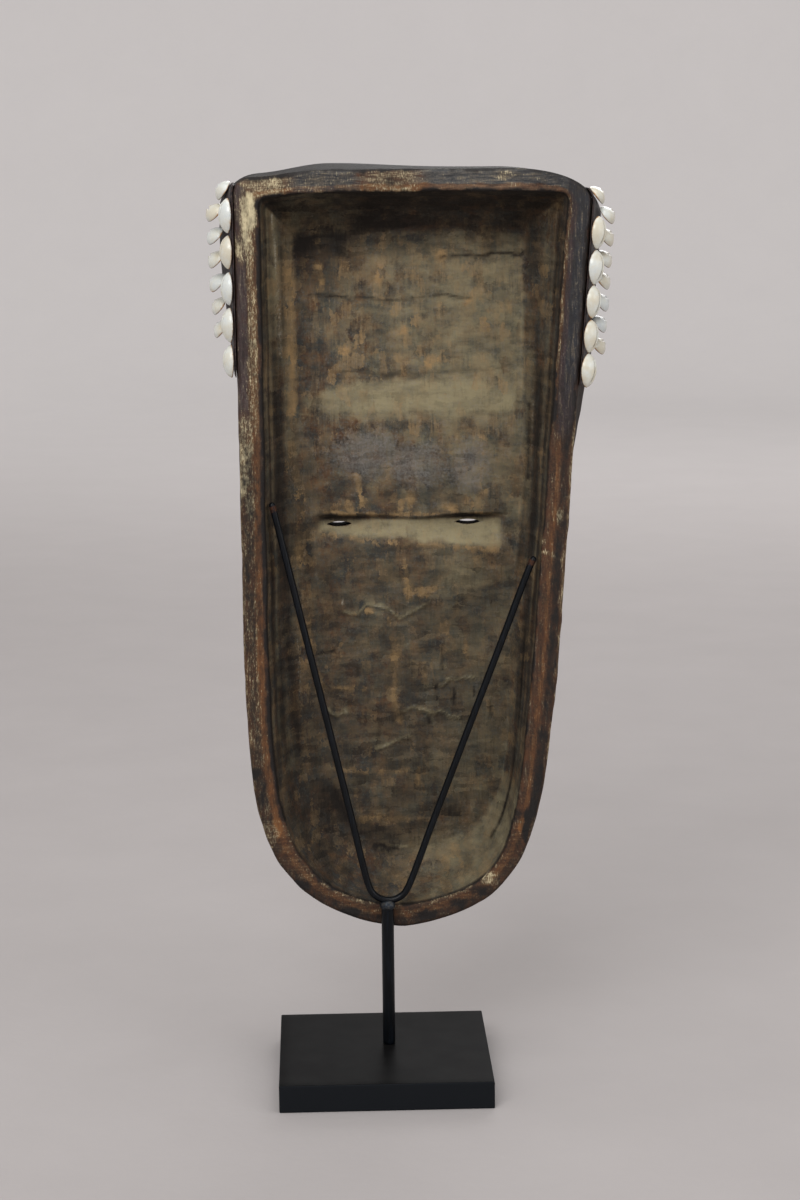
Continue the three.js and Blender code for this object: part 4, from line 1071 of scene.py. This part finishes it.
def temple_x(sign, z, depth):
    """Where a side wall is at each height and depth."""
    x = np.empty(z.shape)
    for one in np.unique(depth):
        chosen = depth == one
        x[chosen] = outer_outline(one)[0 if sign > 0 else 1].x(z[chosen])
    return x


def unit(vectors):
    return vectors / np.linalg.norm(vectors, axis=-1, keepdims=True)


def on_temple(sign, z, depth, lift):
    """Places on a side wall, lifted off it, with the directions out, forward and up."""
    z = np.asarray(z, float)
    depth = np.broadcast_to(np.asarray(depth, float), z.shape)
    forward_x = temple_x(sign, z, depth + SLOPE_STEP) - temple_x(sign, z, depth - SLOPE_STEP)
    up_x = temple_x(sign, z + SLOPE_STEP, depth) - temple_x(sign, z - SLOPE_STEP, depth)
    forward = unit(np.stack([forward_x, np.full_like(z, -2 * SLOPE_STEP), 0 * z], -1))
    up = unit(np.stack([up_x, 0 * z, np.full_like(z, 2 * SLOPE_STEP)], -1))
    out = unit(sign * np.cross(up, forward))
    on_wood = np.stack([temple_x(sign, z, depth), RIM_Y - depth, z], -1)
    return on_wood + out * np.asarray(lift)[..., None], out, forward, up


# Old hide: purple-black from handling and smoke, creased across, scuffed brown along its edges
leather = new_material("aged_leather")
grain = noise(1.1, detail=5, rough=0.7)
creases = noise((6, 4, 2.4), detail=5, rough=0.6, distortion=0.6)
hide = tones(total((grain, 0.5), (creases, 0.5)), "#151011", "#241b1d", "#372a2b")
hide, scuffed = lay(hide, ("#57402f", "worn", total((grain, 0.6), (creases, 0.4)), 1.8, 0.3))
marks = total((creases, 0.9), (grain, 0.5))
finish(hide, (0.55, 0.8, scuffed), marks, 0.5, Specular_IOR_Level=0.35)


def band(sign):
    """The strap on one side: two sheets, on the wood and off it, joined round their border."""
    low_z, high_z = BAND_Z[sign]
    z = lerp(high_z, low_z, (1 - np.linspace(0, 1, BAND_ROWS)) ** BAND_ROW_POWER)
    depth = np.linspace(BAND_BACK_DEPTH, BAND_FRONT_DEPTH, BAND_COLUMNS)
    z, depth = np.meshgrid(z, depth, indexing="ij")
    to_border = np.minimum.reduce([
        z - low_z, high_z - z, depth - BAND_BACK_DEPTH, BAND_FRONT_DEPTH - depth])
    round_off = 1 - np.sqrt(1 - np.clip(1 - to_border / BAND_EASE, 0, 1) ** 2)
    layers = []
    for thickness in (BAND_THICKNESS * (1 - 0.55 * round_off), 0 * round_off):
        sheet, out, forward, up = on_temple(sign, z, depth, BAND_LIFT + thickness)
        ragged = up * patches(sheet, 9, 41)[..., None]
        ragged += forward * np.minimum(patches(sheet, 7, 42), 0.2)[..., None]
        sheet = sheet + BAND_WAVER * smooth(8, 0, to_border)[..., None] * ragged
        if not layers:
            swell = patches(sheet, 9, 43) + 0.4 * patches(sheet, 3, 44)
            sheet = sheet + out * (0.22 * swell * smooth(0, 2, to_border))[..., None]
        layers.append(sheet.reshape(-1, 3))
    quads, rim = grid(BAND_ROWS, BAND_COLUMNS)
    count = len(layers[0])
    sides = np.stack([np.roll(rim, -1), rim, rim + count, np.roll(rim, -1) + count], -1)
    faces = np.concatenate([quads, quads[:, ::-1] + count, sides])
    if sign > 0:
        faces = faces[:, ::-1]
    piece = mesh_object("leather_band_" + SIDE_NAME[sign], np.concatenate(layers), faces, [leather])
    store(piece.data, worn=np.tile(0.3 * smooth(2.5, 0, to_border).ravel(), 2))
    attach(piece, "root")
    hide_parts("temple_band_" + SIDE_NAME[sign])


band(1)
band(-1)

# Cowries: money cowries with their humped backs cut away, sewn flat on the leather so that the
# toothed mouth looks out. Five stand upright along the rim on each side; the others lie crosswise
# further forward, the lower edge of each swung out a little by the one below.
COWRIE_LENGTH = 22.4
COWRIE_WIDTH = 14.2
COWRIE_HEIGHT = 6.4
LYING_HEIGHT = 5.7
COWRIE_BACK = 0.12
COWRIE_TAPER = 0.1
COWRIE_CROWN_POWER = 1.25
COWRIE_BACK_POWER = 0.35
COWRIE_POINT = 0.68
COWRIE_SIZE = 0.97
COWRIE_SIZE_SPREAD = 0.03
COWRIE_GAP = 0.35
EDGE_ROW_DEPTH = 4.8
OUTER_ROW_DEPTH = 28
OUTER_DROOP = 40
OUTER_TOP_DROOP = 6

# Of each row the heights of its lowest and highest shell and their count; then how far an upright
# one is swung out, or how high the one more lies that tops a row of lying ones
EDGE_ROWS = {1: (479.8, 573, 5, 10), -1: (470.9, 559.6, 5, 30)}
OUTER_ROWS = {1: (498.9, 573.6, 6, 586.5), -1: (484.7, 569.2, 7, 580)}

SHELL_ROUND = 44
SHELL_LONG = 60
SHELL_CROWDING = 0.62
MOUTH_HALF = 0.55
MOUTH_DEEP = 2.0
MOUTH_BOW = 0.9
LIP_OUT = 1.5
LIP_HALF = 0.9
LIP_PROUD = 0.3
TOOTH_PITCH = 1.35
TOOTH_PROUD = 0.2

# Glazed shell: bluish white and glossy, yellower towards its ends, its mouth brown with old dirt
# and its cut edge stained by the leather it lies on; its cut back takes the same dark brown as painted shade
glaze = new_material("polished_cowrie_shell")
cloud = noise(8, detail=3)
speckle = noise(1.4, detail=4, rough=0.65)
tint = add("ShaderNodeAttribute", attribute_name="tint").outputs["Fac"]
hue = total((cloud, 0.5), (tint, 0.3), (speckle, 0.2))
shell_colour, _ = lay(
    tones(hue, "#c6cdd0", "#d6d9d3", "#cfc9b6", reach=0.16),
    ("#a87a45", "stain", total((cloud, 0.7), (speckle, 0.3)), 1.6, 0.3),
    ("#4a3424", "mouth", speckle, 0.6, 0.3),
)
finish(shell_colour, (0.16, 0.34, speckle), cloud, 0.15, Coat_Weight=0.3)


def cowrie(height, mouth_end):
    """One cowrie: length along Y, its mouth looking along Z, its cut back at 0."""
    lengths = np.cos(np.linspace(np.pi, 0, SHELL_LONG))[1:-1]
    turns = np.linspace(-np.pi, np.pi, SHELL_ROUND, endpoint=False)
    turns = turns - SHELL_CROWDING * np.sin(turns)
    along_y, turn = np.meshgrid(lengths, turns, indexing="ij")
    ring = 1 - along_y ** 2
    up = np.cos(turn) * np.sqrt(ring)
    x = np.sin(turn) * ring ** COWRIE_POINT * COWRIE_WIDTH / 2 * (1 + COWRIE_TAPER * along_y)
    y = along_y * COWRIE_LENGTH / 2
    share = np.where(up > 0, 1 - COWRIE_BACK, COWRIE_BACK)
    power = np.where(up > 0, COWRIE_CROWN_POWER, COWRIE_BACK_POWER)
    z = height * (COWRIE_BACK + np.sign(up) * np.abs(up) ** power * share)
    from_mouth = x - MOUTH_BOW * np.sin(along_y * 2.4 + 0.6)
    crown = smooth(0.1, 0.6, up)
    slit = hump(from_mouth, 0, MOUTH_HALF) * smooth(0.78, 0.5, -along_y)
    slit = slit * smooth(mouth_end, mouth_end - 0.28, along_y)
    lips = hump(np.abs(from_mouth), LIP_OUT, LIP_HALF) * smooth(0.9, 0.6, -along_y)
    lips = lips * smooth(mouth_end + 0.12, mouth_end - 0.18, along_y)
    teeth = lips * np.cos(2 * np.pi * y / TOOTH_PITCH)
    z = z + crown * (TOOTH_PROUD * teeth + LIP_PROUD * lips - MOUTH_DEEP * slit)
    poles = [(0, end * COWRIE_LENGTH / 2, height * COWRIE_BACK) for end in (-1, 1)]
    points = np.concatenate([np.stack([x, y, z], -1).reshape(-1, 3), poles])
    table = np.arange(x.size).reshape(x.shape)
    after = np.roll(table, -1, axis=1)
    faces = np.stack([table[:-1], table[1:], after[1:], after[:-1]], -1).reshape(-1, 4).tolist()
    faces += [(x.size, table[0, k], after[0, k]) for k in range(SHELL_ROUND)]
    faces += [(x.size + 1, after[-1, k], table[-1, k]) for k in range(SHELL_ROUND)]
    shell = mesh_object("cowrie_pattern", points, faces, [glaze])
    stain = 0.56 * smooth(0.3, -0.05, up) + 0.2 * smooth(0.75, 1, np.abs(along_y))
    # The dark of the mouth is dirt; that of the cut back is painted shade where it faces the leather
    dirt_and_back_shade = np.maximum(crown * slit, 0.85 * (up < -0.02))
    store(shell.data, mouth=np.append(dirt_and_back_shade, [0, 0]), stain=np.append(stain, [0, 0]))
    return shell


# One pattern stands upright; the other lies and is flatter, and its mouth ends before its near end
shells = {False: cowrie(COWRIE_HEIGHT, 0.78), True: cowrie(LYING_HEIGHT, 0.1)}


def geometry_tree(name, sockets):
    """An empty Geometry Nodes tree with named inputs, which is then the one in work."""
    global tree
    tree = bpy.data.node_groups.new(name, "GeometryNodeTree")
    tree.interface.new_socket("Geometry", in_out="INPUT", socket_type="NodeSocketGeometry")
    for label, kind in sockets.items():
        tree.interface.new_socket(label, in_out="INPUT", socket_type="NodeSocket" + kind)
    tree.interface.new_socket("Geometry", in_out="OUTPUT", socket_type="NodeSocketGeometry")
    return tree, tree.nodes.new("NodeGroupInput").outputs


def real_and_dressed(geometry, material):
    """The end of a tree: real meshes with their material."""
    real = add("GeometryNodeRealizeInstances", {"Geometry": geometry})
    dressed = add("GeometryNodeSetMaterial", {"Geometry": real, "Material": material})
    add("NodeGroupOutput", {0: dressed})


def grown(name, mesh, group, **values):
    """An object with the plain mesh that a tree makes of a mesh with its input values."""
    obj = bpy.data.objects.new(name, mesh)
    bpy.context.scene.collection.objects.link(obj)
    modifier = obj.modifiers.new(group.name, "NODES")
    modifier.node_group = group
    for item in group.interface.items_tree:
        if item.in_out == "INPUT" and item.name in values:
            modifier[item.identifier] = values[item.name]
    apply(obj, modifier)
    return obj


sewing, entry = geometry_tree("sew_shells", {
    "Shell": "Object", "Size": "Float", "Spread": "Float", "Seed": "Int", "Material": "Material"})
source = add("GeometryNodeObjectInfo", {"Object": entry["Shell"]}).outputs["Geometry"]
turn = add("GeometryNodeInputNamedAttribute", {"Name": "turn"}, data_type="FLOAT_VECTOR")
rotation = add("FunctionNodeEulerToRotation", {"Euler": turn})
wave = add("GeometryNodeInputNamedAttribute", {"Name": "wave"}, data_type="FLOAT")
scale = add("ShaderNodeMath", {0: wave, 1: entry["Spread"], 2: entry["Size"]}, operation="MULTIPLY_ADD")
sewn = add("GeometryNodeInstanceOnPoints", {
    "Points": entry["Geometry"], "Instance": source, "Rotation": rotation, "Scale": scale})
tint = add("FunctionNodeRandomValue", {"Seed": entry["Seed"]}, data_type="FLOAT").outputs[1]
tinted = add("GeometryNodeStoreNamedAttribute", {"Geometry": sewn, "Name": "tint", "Value": tint},
             data_type="FLOAT", domain="INSTANCE")
real_and_dressed(tinted, entry["Material"])


def shell_row(sign, row, lying, sewn_on):
    """A row of shells, each with its number, height, depth and the angle that it is swung out by."""
    spots = []
    turns = []
    waves = []
    for k, z, depth, swing in sewn_on:
        angle = np.radians(swing)
        over_band = min(COWRIE_WIDTH / 2, depth - BAND_BACK_DEPTH)
        lift = BAND_LIFT + BAND_THICKNESS + COWRIE_GAP + over_band * np.sin(angle)
        spot, out, forward, up = on_temple(sign, [z], depth, [lift])
        length = Vector(-forward[0] if lying else up[0])
        axis = Vector(forward[0] if lying else up[0])
        mouth = Matrix.Rotation(sign * angle, 3, axis) @ Vector(out[0])
        across = length.cross(mouth).normalized()
        spots.append(spot[0])
        turns.append(Matrix((across, length, mouth)).transposed().to_euler())
        waves.append(np.sin(2.3 * k + sign))
    mesh = bpy.data.meshes.new("row")
    mesh.from_pydata((np.array(spots) / 1000).tolist(), [], [])
    mesh.attributes.new("turn", "FLOAT_VECTOR", "POINT").data.foreach_set("vector", np.ravel(turns))
    store(mesh, wave=waves)
    obj = grown(f"cowries_{SIDE_NAME[sign]}_{row}", mesh, sewing, Shell=shells[lying],
                Size=COWRIE_SIZE, Spread=COWRIE_SIZE_SPREAD, Seed=4 + sign, Material=glaze)
    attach(obj, "root")
    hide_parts(*[f"cowrie_{SIDE_NAME[sign]}_{row}_{k + 1}" for k in range(len(sewn_on))])


for sign in (1, -1):
    low_z, high_z, count, swing = EDGE_ROWS[sign]
    heights = np.linspace(high_z, low_z, count)
    shell_row(sign, "edge", False, [(k, z, EDGE_ROW_DEPTH, swing) for k, z in enumerate(heights)])
    low_z, high_z, count, top_z = OUTER_ROWS[sign]
    lying = [(count, top_z, OUTER_ROW_DEPTH, OUTER_TOP_DROOP)]
    lying += [(k, z, OUTER_ROW_DEPTH, OUTER_DROOP) for k, z in enumerate(np.linspace(high_z, low_z, count))]
    shell_row(sign, "outer", True, lying)
for pattern in shells.values():
    bpy.data.objects.remove(pattern)

# Base board: a square of fibreboard with eased edges, sprayed satin black;
# its sawn edges drink the lacquer and dry a little greyer than its faces.
base_low, base_high = [np.array(corner) * 1000 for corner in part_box("base_block")]
BASE_EASE = 0.9
BASE_EASE_STEPS = 4
BASE_CELLS = 20

# Sprayed lacquer: nearly black with a silky shine, a fine orange peel, dust and faint rubbed places
lacquer = new_material("satin_black_lacquer")
peel = noise(1.6, detail=3)
rubbed = noise((34, 34, 20), detail=5, rough=0.6)
black, _ = lay(
    tones(rubbed, "#060607", "#09090a", "#0e0f10"),
    ("#161616", noise((26, 26, 9), detail=5, rough=0.65), rubbed, 0.5, 0.3),
    ("#1c1e21", "edge", rubbed, 0.6, 0.4),
)
finish(black, (0.36, 0.5, rubbed), peel, 0.015, Specular_IOR_Level=0.012)

# Six grids, one for each side, whose outer cells are drawn in to a rounded edge
half = (base_high - base_low) / 2
middle = (base_high + base_low) / 2
core_half = half - BASE_EASE
bend = BASE_EASE * np.sin(np.linspace(0, np.pi / 2, BASE_EASE_STEPS + 1))[1:]
ticks = [
    np.concatenate([-reach - bend[::-1], np.linspace(-reach, reach, BASE_CELLS), reach + bend])
    for reach in core_half
]
side_count = len(ticks[0])
quads, _ = grid(side_count, side_count)
board_points = []
board_faces = []
for axis in range(3):
    one, two = [k for k in range(3) if k != axis]
    for sign in (-1, 1):
        point = np.full((side_count, side_count, 3), sign * half[axis])
        point[..., one], point[..., two] = np.meshgrid(ticks[one], ticks[two], indexing="ij")
        core = np.clip(point, -core_half, core_half)
        outside = (sign > 0) == (axis != 1)
        board_faces.append((quads[:, ::-1] if outside else quads) + side_count ** 2 * len(board_points))
        board_points.append((middle + core + BASE_EASE * unit(point - core)).reshape(-1, 3))
board = mesh_object("base_board", np.concatenate(board_points), np.concatenate(board_faces), [lacquer])
board = merged(board)
heights = np.array([vertex.co.z * 1000 for vertex in board.data.vertices])
store(board.data, edge=0.95 * (heights < base_high[2] - 0.1))
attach(board, "root")
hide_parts("base_block")

# Post: a steel bar screwed to the base from below, painted satin black; the fork is welded on its
# top with one lumpy bead.
post_low, post_high = [corner * 1000 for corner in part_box("post")]
POST_X = (post_low.x + post_high.x) / 2
POST_Y = (post_low.y + post_high.y) / 2
POST_RADIUS = (post_high.x - post_low.x) / 2
POST_EASE = 0.35
POST_STEPS = 40
BEAD_RADIUS = 5.0
BEAD_STEPS = 32
BEAD_LOW = 111.5
BEAD_MIDDLE = 115.5
BEAD_HIGH = 119.2
BEAD_BULGE = 0.8
BEAD_LUMP = 2.6
BEAD_LUMPINESS = 0.45

# Painted steel: black with a cold shine, brushed on along the bar, chipped to rust in a few places
steel = new_material("black_painted_steel")
brushed = noise((1.2, 1.2, 14), detail=4, rough=0.6)
specks = noise(1.5, detail=5, rough=0.75)
black, rusty = lay(tones(brushed, "#030406", "#06090d", "#0b1017"), ("#4a2d1c", "rust", specks, 1.2, 0.2))
marks = total((brushed, 0.6), (specks, 0.4))
finish(black, (0.34, 0.8, rusty), marks, 0.12, Specular_IOR_Level=0.18)

# Weld metal, left bare when the rest was painted and darkened by the heat
weld_metal = new_material("burnt_weld_metal")
ripple = noise((6, 6, 1.2), detail=4)
heat = tones(noise(2.4, detail=4), "#1b1f25", "#2b3138", "#403f3d")
finish(heat, (0.3, 0.5, ripple), ripple, 0.3, Metallic=0.6)

low_z, high_z = post_low.z, post_high.z
profile = [(POLE, low_z), (POST_RADIUS - POST_EASE, low_z), (POST_RADIUS, low_z + POST_EASE)]
profile += [(POST_RADIUS, z) for z in np.linspace(low_z + 2, high_z - 2, 30)]
profile += [(POST_RADIUS, high_z - POST_EASE), (POST_RADIUS - POST_EASE, high_z), (POLE, high_z)]
post = merged(mesh_object("post_bar", *lathe(profile, POST_STEPS, (POST_X, POST_Y)), [steel]))
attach(post, "root")
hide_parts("post")

bead_profile = [
    (max(BEAD_RADIUS * np.sin(a) ** BEAD_BULGE, POLE), lerp(BEAD_LOW, BEAD_HIGH, (1 - np.cos(a)) / 2))
    for a in np.linspace(0, np.pi, 15)
]
bead_points, bead_faces = lathe(bead_profile, BEAD_STEPS, (POST_X, POST_Y))
from_middle = np.array(bead_points) - [POST_X, POST_Y, BEAD_MIDDLE]
lumps = BEAD_LUMPINESS * patches(bead_points, BEAD_LUMP, 5)
bead_points += lumps[:, None] * from_middle / BEAD_RADIUS
bead = merged(mesh_object("weld_bead", bead_points, bead_faces, [weld_metal]))
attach(bead, "root")

# Fork: one steel rod bent to a rounded V, painted as the post is. Its arms lean out and a little
# into the hollow, and their tips, turned out at the end, press on the inner walls.
ROD_RADIUS = 2.3
CRADLE_X = -4.6
CRADLE_BOTTOM_Z = 118.6
CRADLE_RADIUS = 13.8
CRADLE_LEAN_IN = 10.5
CRADLE_LEAN_START = 126.6
CRADLE_LEAN_RISE = 265
ARM_LEFT = {"side": 1, "lean": 13.06, "top_z": 382, "hook": (0.2, 5)}
ARM_RIGHT = {"side": -1, "lean": 21.1, "top_z": 343, "hook": (0.8, 5.5)}
ARM_POINTS = 5
BEND_POINTS = 6
SPAN_POINTS = 24
ROD_ROUND = 20
TIP_STEPS = 6
TIP_RUST_REACH = 7


def cradle_y(z):
    """How far back the fork is at a height, as it leans into the hollow."""
    return POST_Y - CRADLE_LEAN_IN * np.clip((z - CRADLE_LEAN_START) / CRADLE_LEAN_RISE, 0, 1)


def arm(side, lean, top_z, hook):
    """The points of one arm, from the bend at the bottom to its turned-out tip."""
    angle = np.radians(lean)
    start_x = CRADLE_X + side * CRADLE_RADIUS * np.cos(angle)
    start_z = CRADLE_BOTTOM_Z + CRADLE_RADIUS * (1 - np.sin(angle))
    heights = np.linspace(start_z, top_z, ARM_POINTS + 1)[1:]
    points = [(start_x + side * (z - start_z) * np.tan(angle), cradle_y(z), z) for z in heights]
    tip_x = points[-1][0] + side * (hook[0] + hook[1] * np.tan(angle))
    return points + [(tip_x, cradle_y(top_z + hook[1]), top_z + hook[1])]


def cradle_bend():
    """The points of the round bend at the bottom, from the right arm to the left one."""
    start = np.radians(180 + ARM_RIGHT["lean"])
    turns = np.linspace(start, np.radians(360 - ARM_LEFT["lean"]), BEND_POINTS + 1)
    heights = CRADLE_BOTTOM_Z + CRADLE_RADIUS * (1 + np.sin(turns))
    return [(CRADLE_X + CRADLE_RADIUS * np.cos(a), cradle_y(z), z) for a, z in zip(turns, heights)]


def through(points, per_span):
    """A smooth path through points: a centripetal Catmull-Rom spline."""
    points = [np.array(p) for p in points]
    points = [2 * points[0] - points[1], *points, 2 * points[-1] - points[-2]]
    path = []
    for p0, p1, p2, p3 in zip(points, points[1:], points[2:], points[3:]):
        t1 = np.linalg.norm(p1 - p0) ** 0.5
        t2 = t1 + np.linalg.norm(p2 - p1) ** 0.5
        t3 = t2 + np.linalg.norm(p3 - p2) ** 0.5
        for t in np.linspace(t1, t2, per_span, endpoint=False):
            a1 = lerp(p0, p1, t / t1)
            a2 = lerp(p1, p2, (t - t1) / (t2 - t1))
            a3 = lerp(p2, p3, (t - t2) / (t3 - t2))
            b1 = lerp(a1, a2, t / t2)
            b2 = lerp(a2, a3, (t - t1) / (t3 - t1))
            path.append(lerp(b1, b2, (t - t1) / (t2 - t1)))
    return np.array([*path, points[-2]])


bending, entry = geometry_tree("bend_rod", {"Radius": "Float", "Sides": "Int", "Material": "Material"})
wire = add("GeometryNodeMeshToCurve", {"Mesh": entry["Geometry"]})
section = add("GeometryNodeCurvePrimitiveCircle", {"Resolution": entry["Sides"], "Radius": entry["Radius"]})
thickness = add("GeometryNodeInputNamedAttribute", {"Name": "thickness"}, data_type="FLOAT")
rod = add("GeometryNodeCurveToMesh", {
    "Curve": wire, "Profile Curve": section.outputs["Curve"], "Scale": thickness, "Fill Caps": True})
real_and_dressed(add("GeometryNodeSetShadeSmooth", {"Geometry": rod}), entry["Material"])

path = through([*arm(**ARM_RIGHT)[::-1], *cradle_bend(), *arm(**ARM_LEFT)], SPAN_POINTS)
tip_bend = ROD_RADIUS * (1 - np.cos(np.linspace(0, np.pi / 2, TIP_STEPS + 1)))
lengths = np.append(0, np.cumsum(np.linalg.norm(np.diff(path, axis=0), axis=1)))
rod_length = lengths[-1]
inner = lengths[np.minimum(lengths, rod_length - lengths) > ROD_RADIUS + 0.3]
stops = np.concatenate([tip_bend, inner, rod_length - tip_bend[::-1]])
path = np.stack([np.interp(stops, lengths, path[:, k]) for k in range(3)], -1)
from_tip = np.minimum(stops, rod_length - stops)
thickness = np.sqrt(np.maximum(1 - np.clip(1 - from_tip / ROD_RADIUS, 0, 1) ** 2, 0.0025))
rust = 0.5 * smooth(TIP_RUST_REACH + 2, TIP_RUST_REACH - 2, from_tip) * smooth(1, 3, from_tip)
cradle_path = bpy.data.meshes.new("cradle_path")
cradle_path.from_pydata((path / 1000).tolist(), [(k, k + 1) for k in range(len(path) - 1)], [])
store(cradle_path, thickness=thickness, rust=rust)
cradle = grown("cradle_fork", cradle_path, bending,
               Radius=ROD_RADIUS / 1000, Sides=ROD_ROUND, Material=steel)
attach(cradle, "root")
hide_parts("cradle_rod")
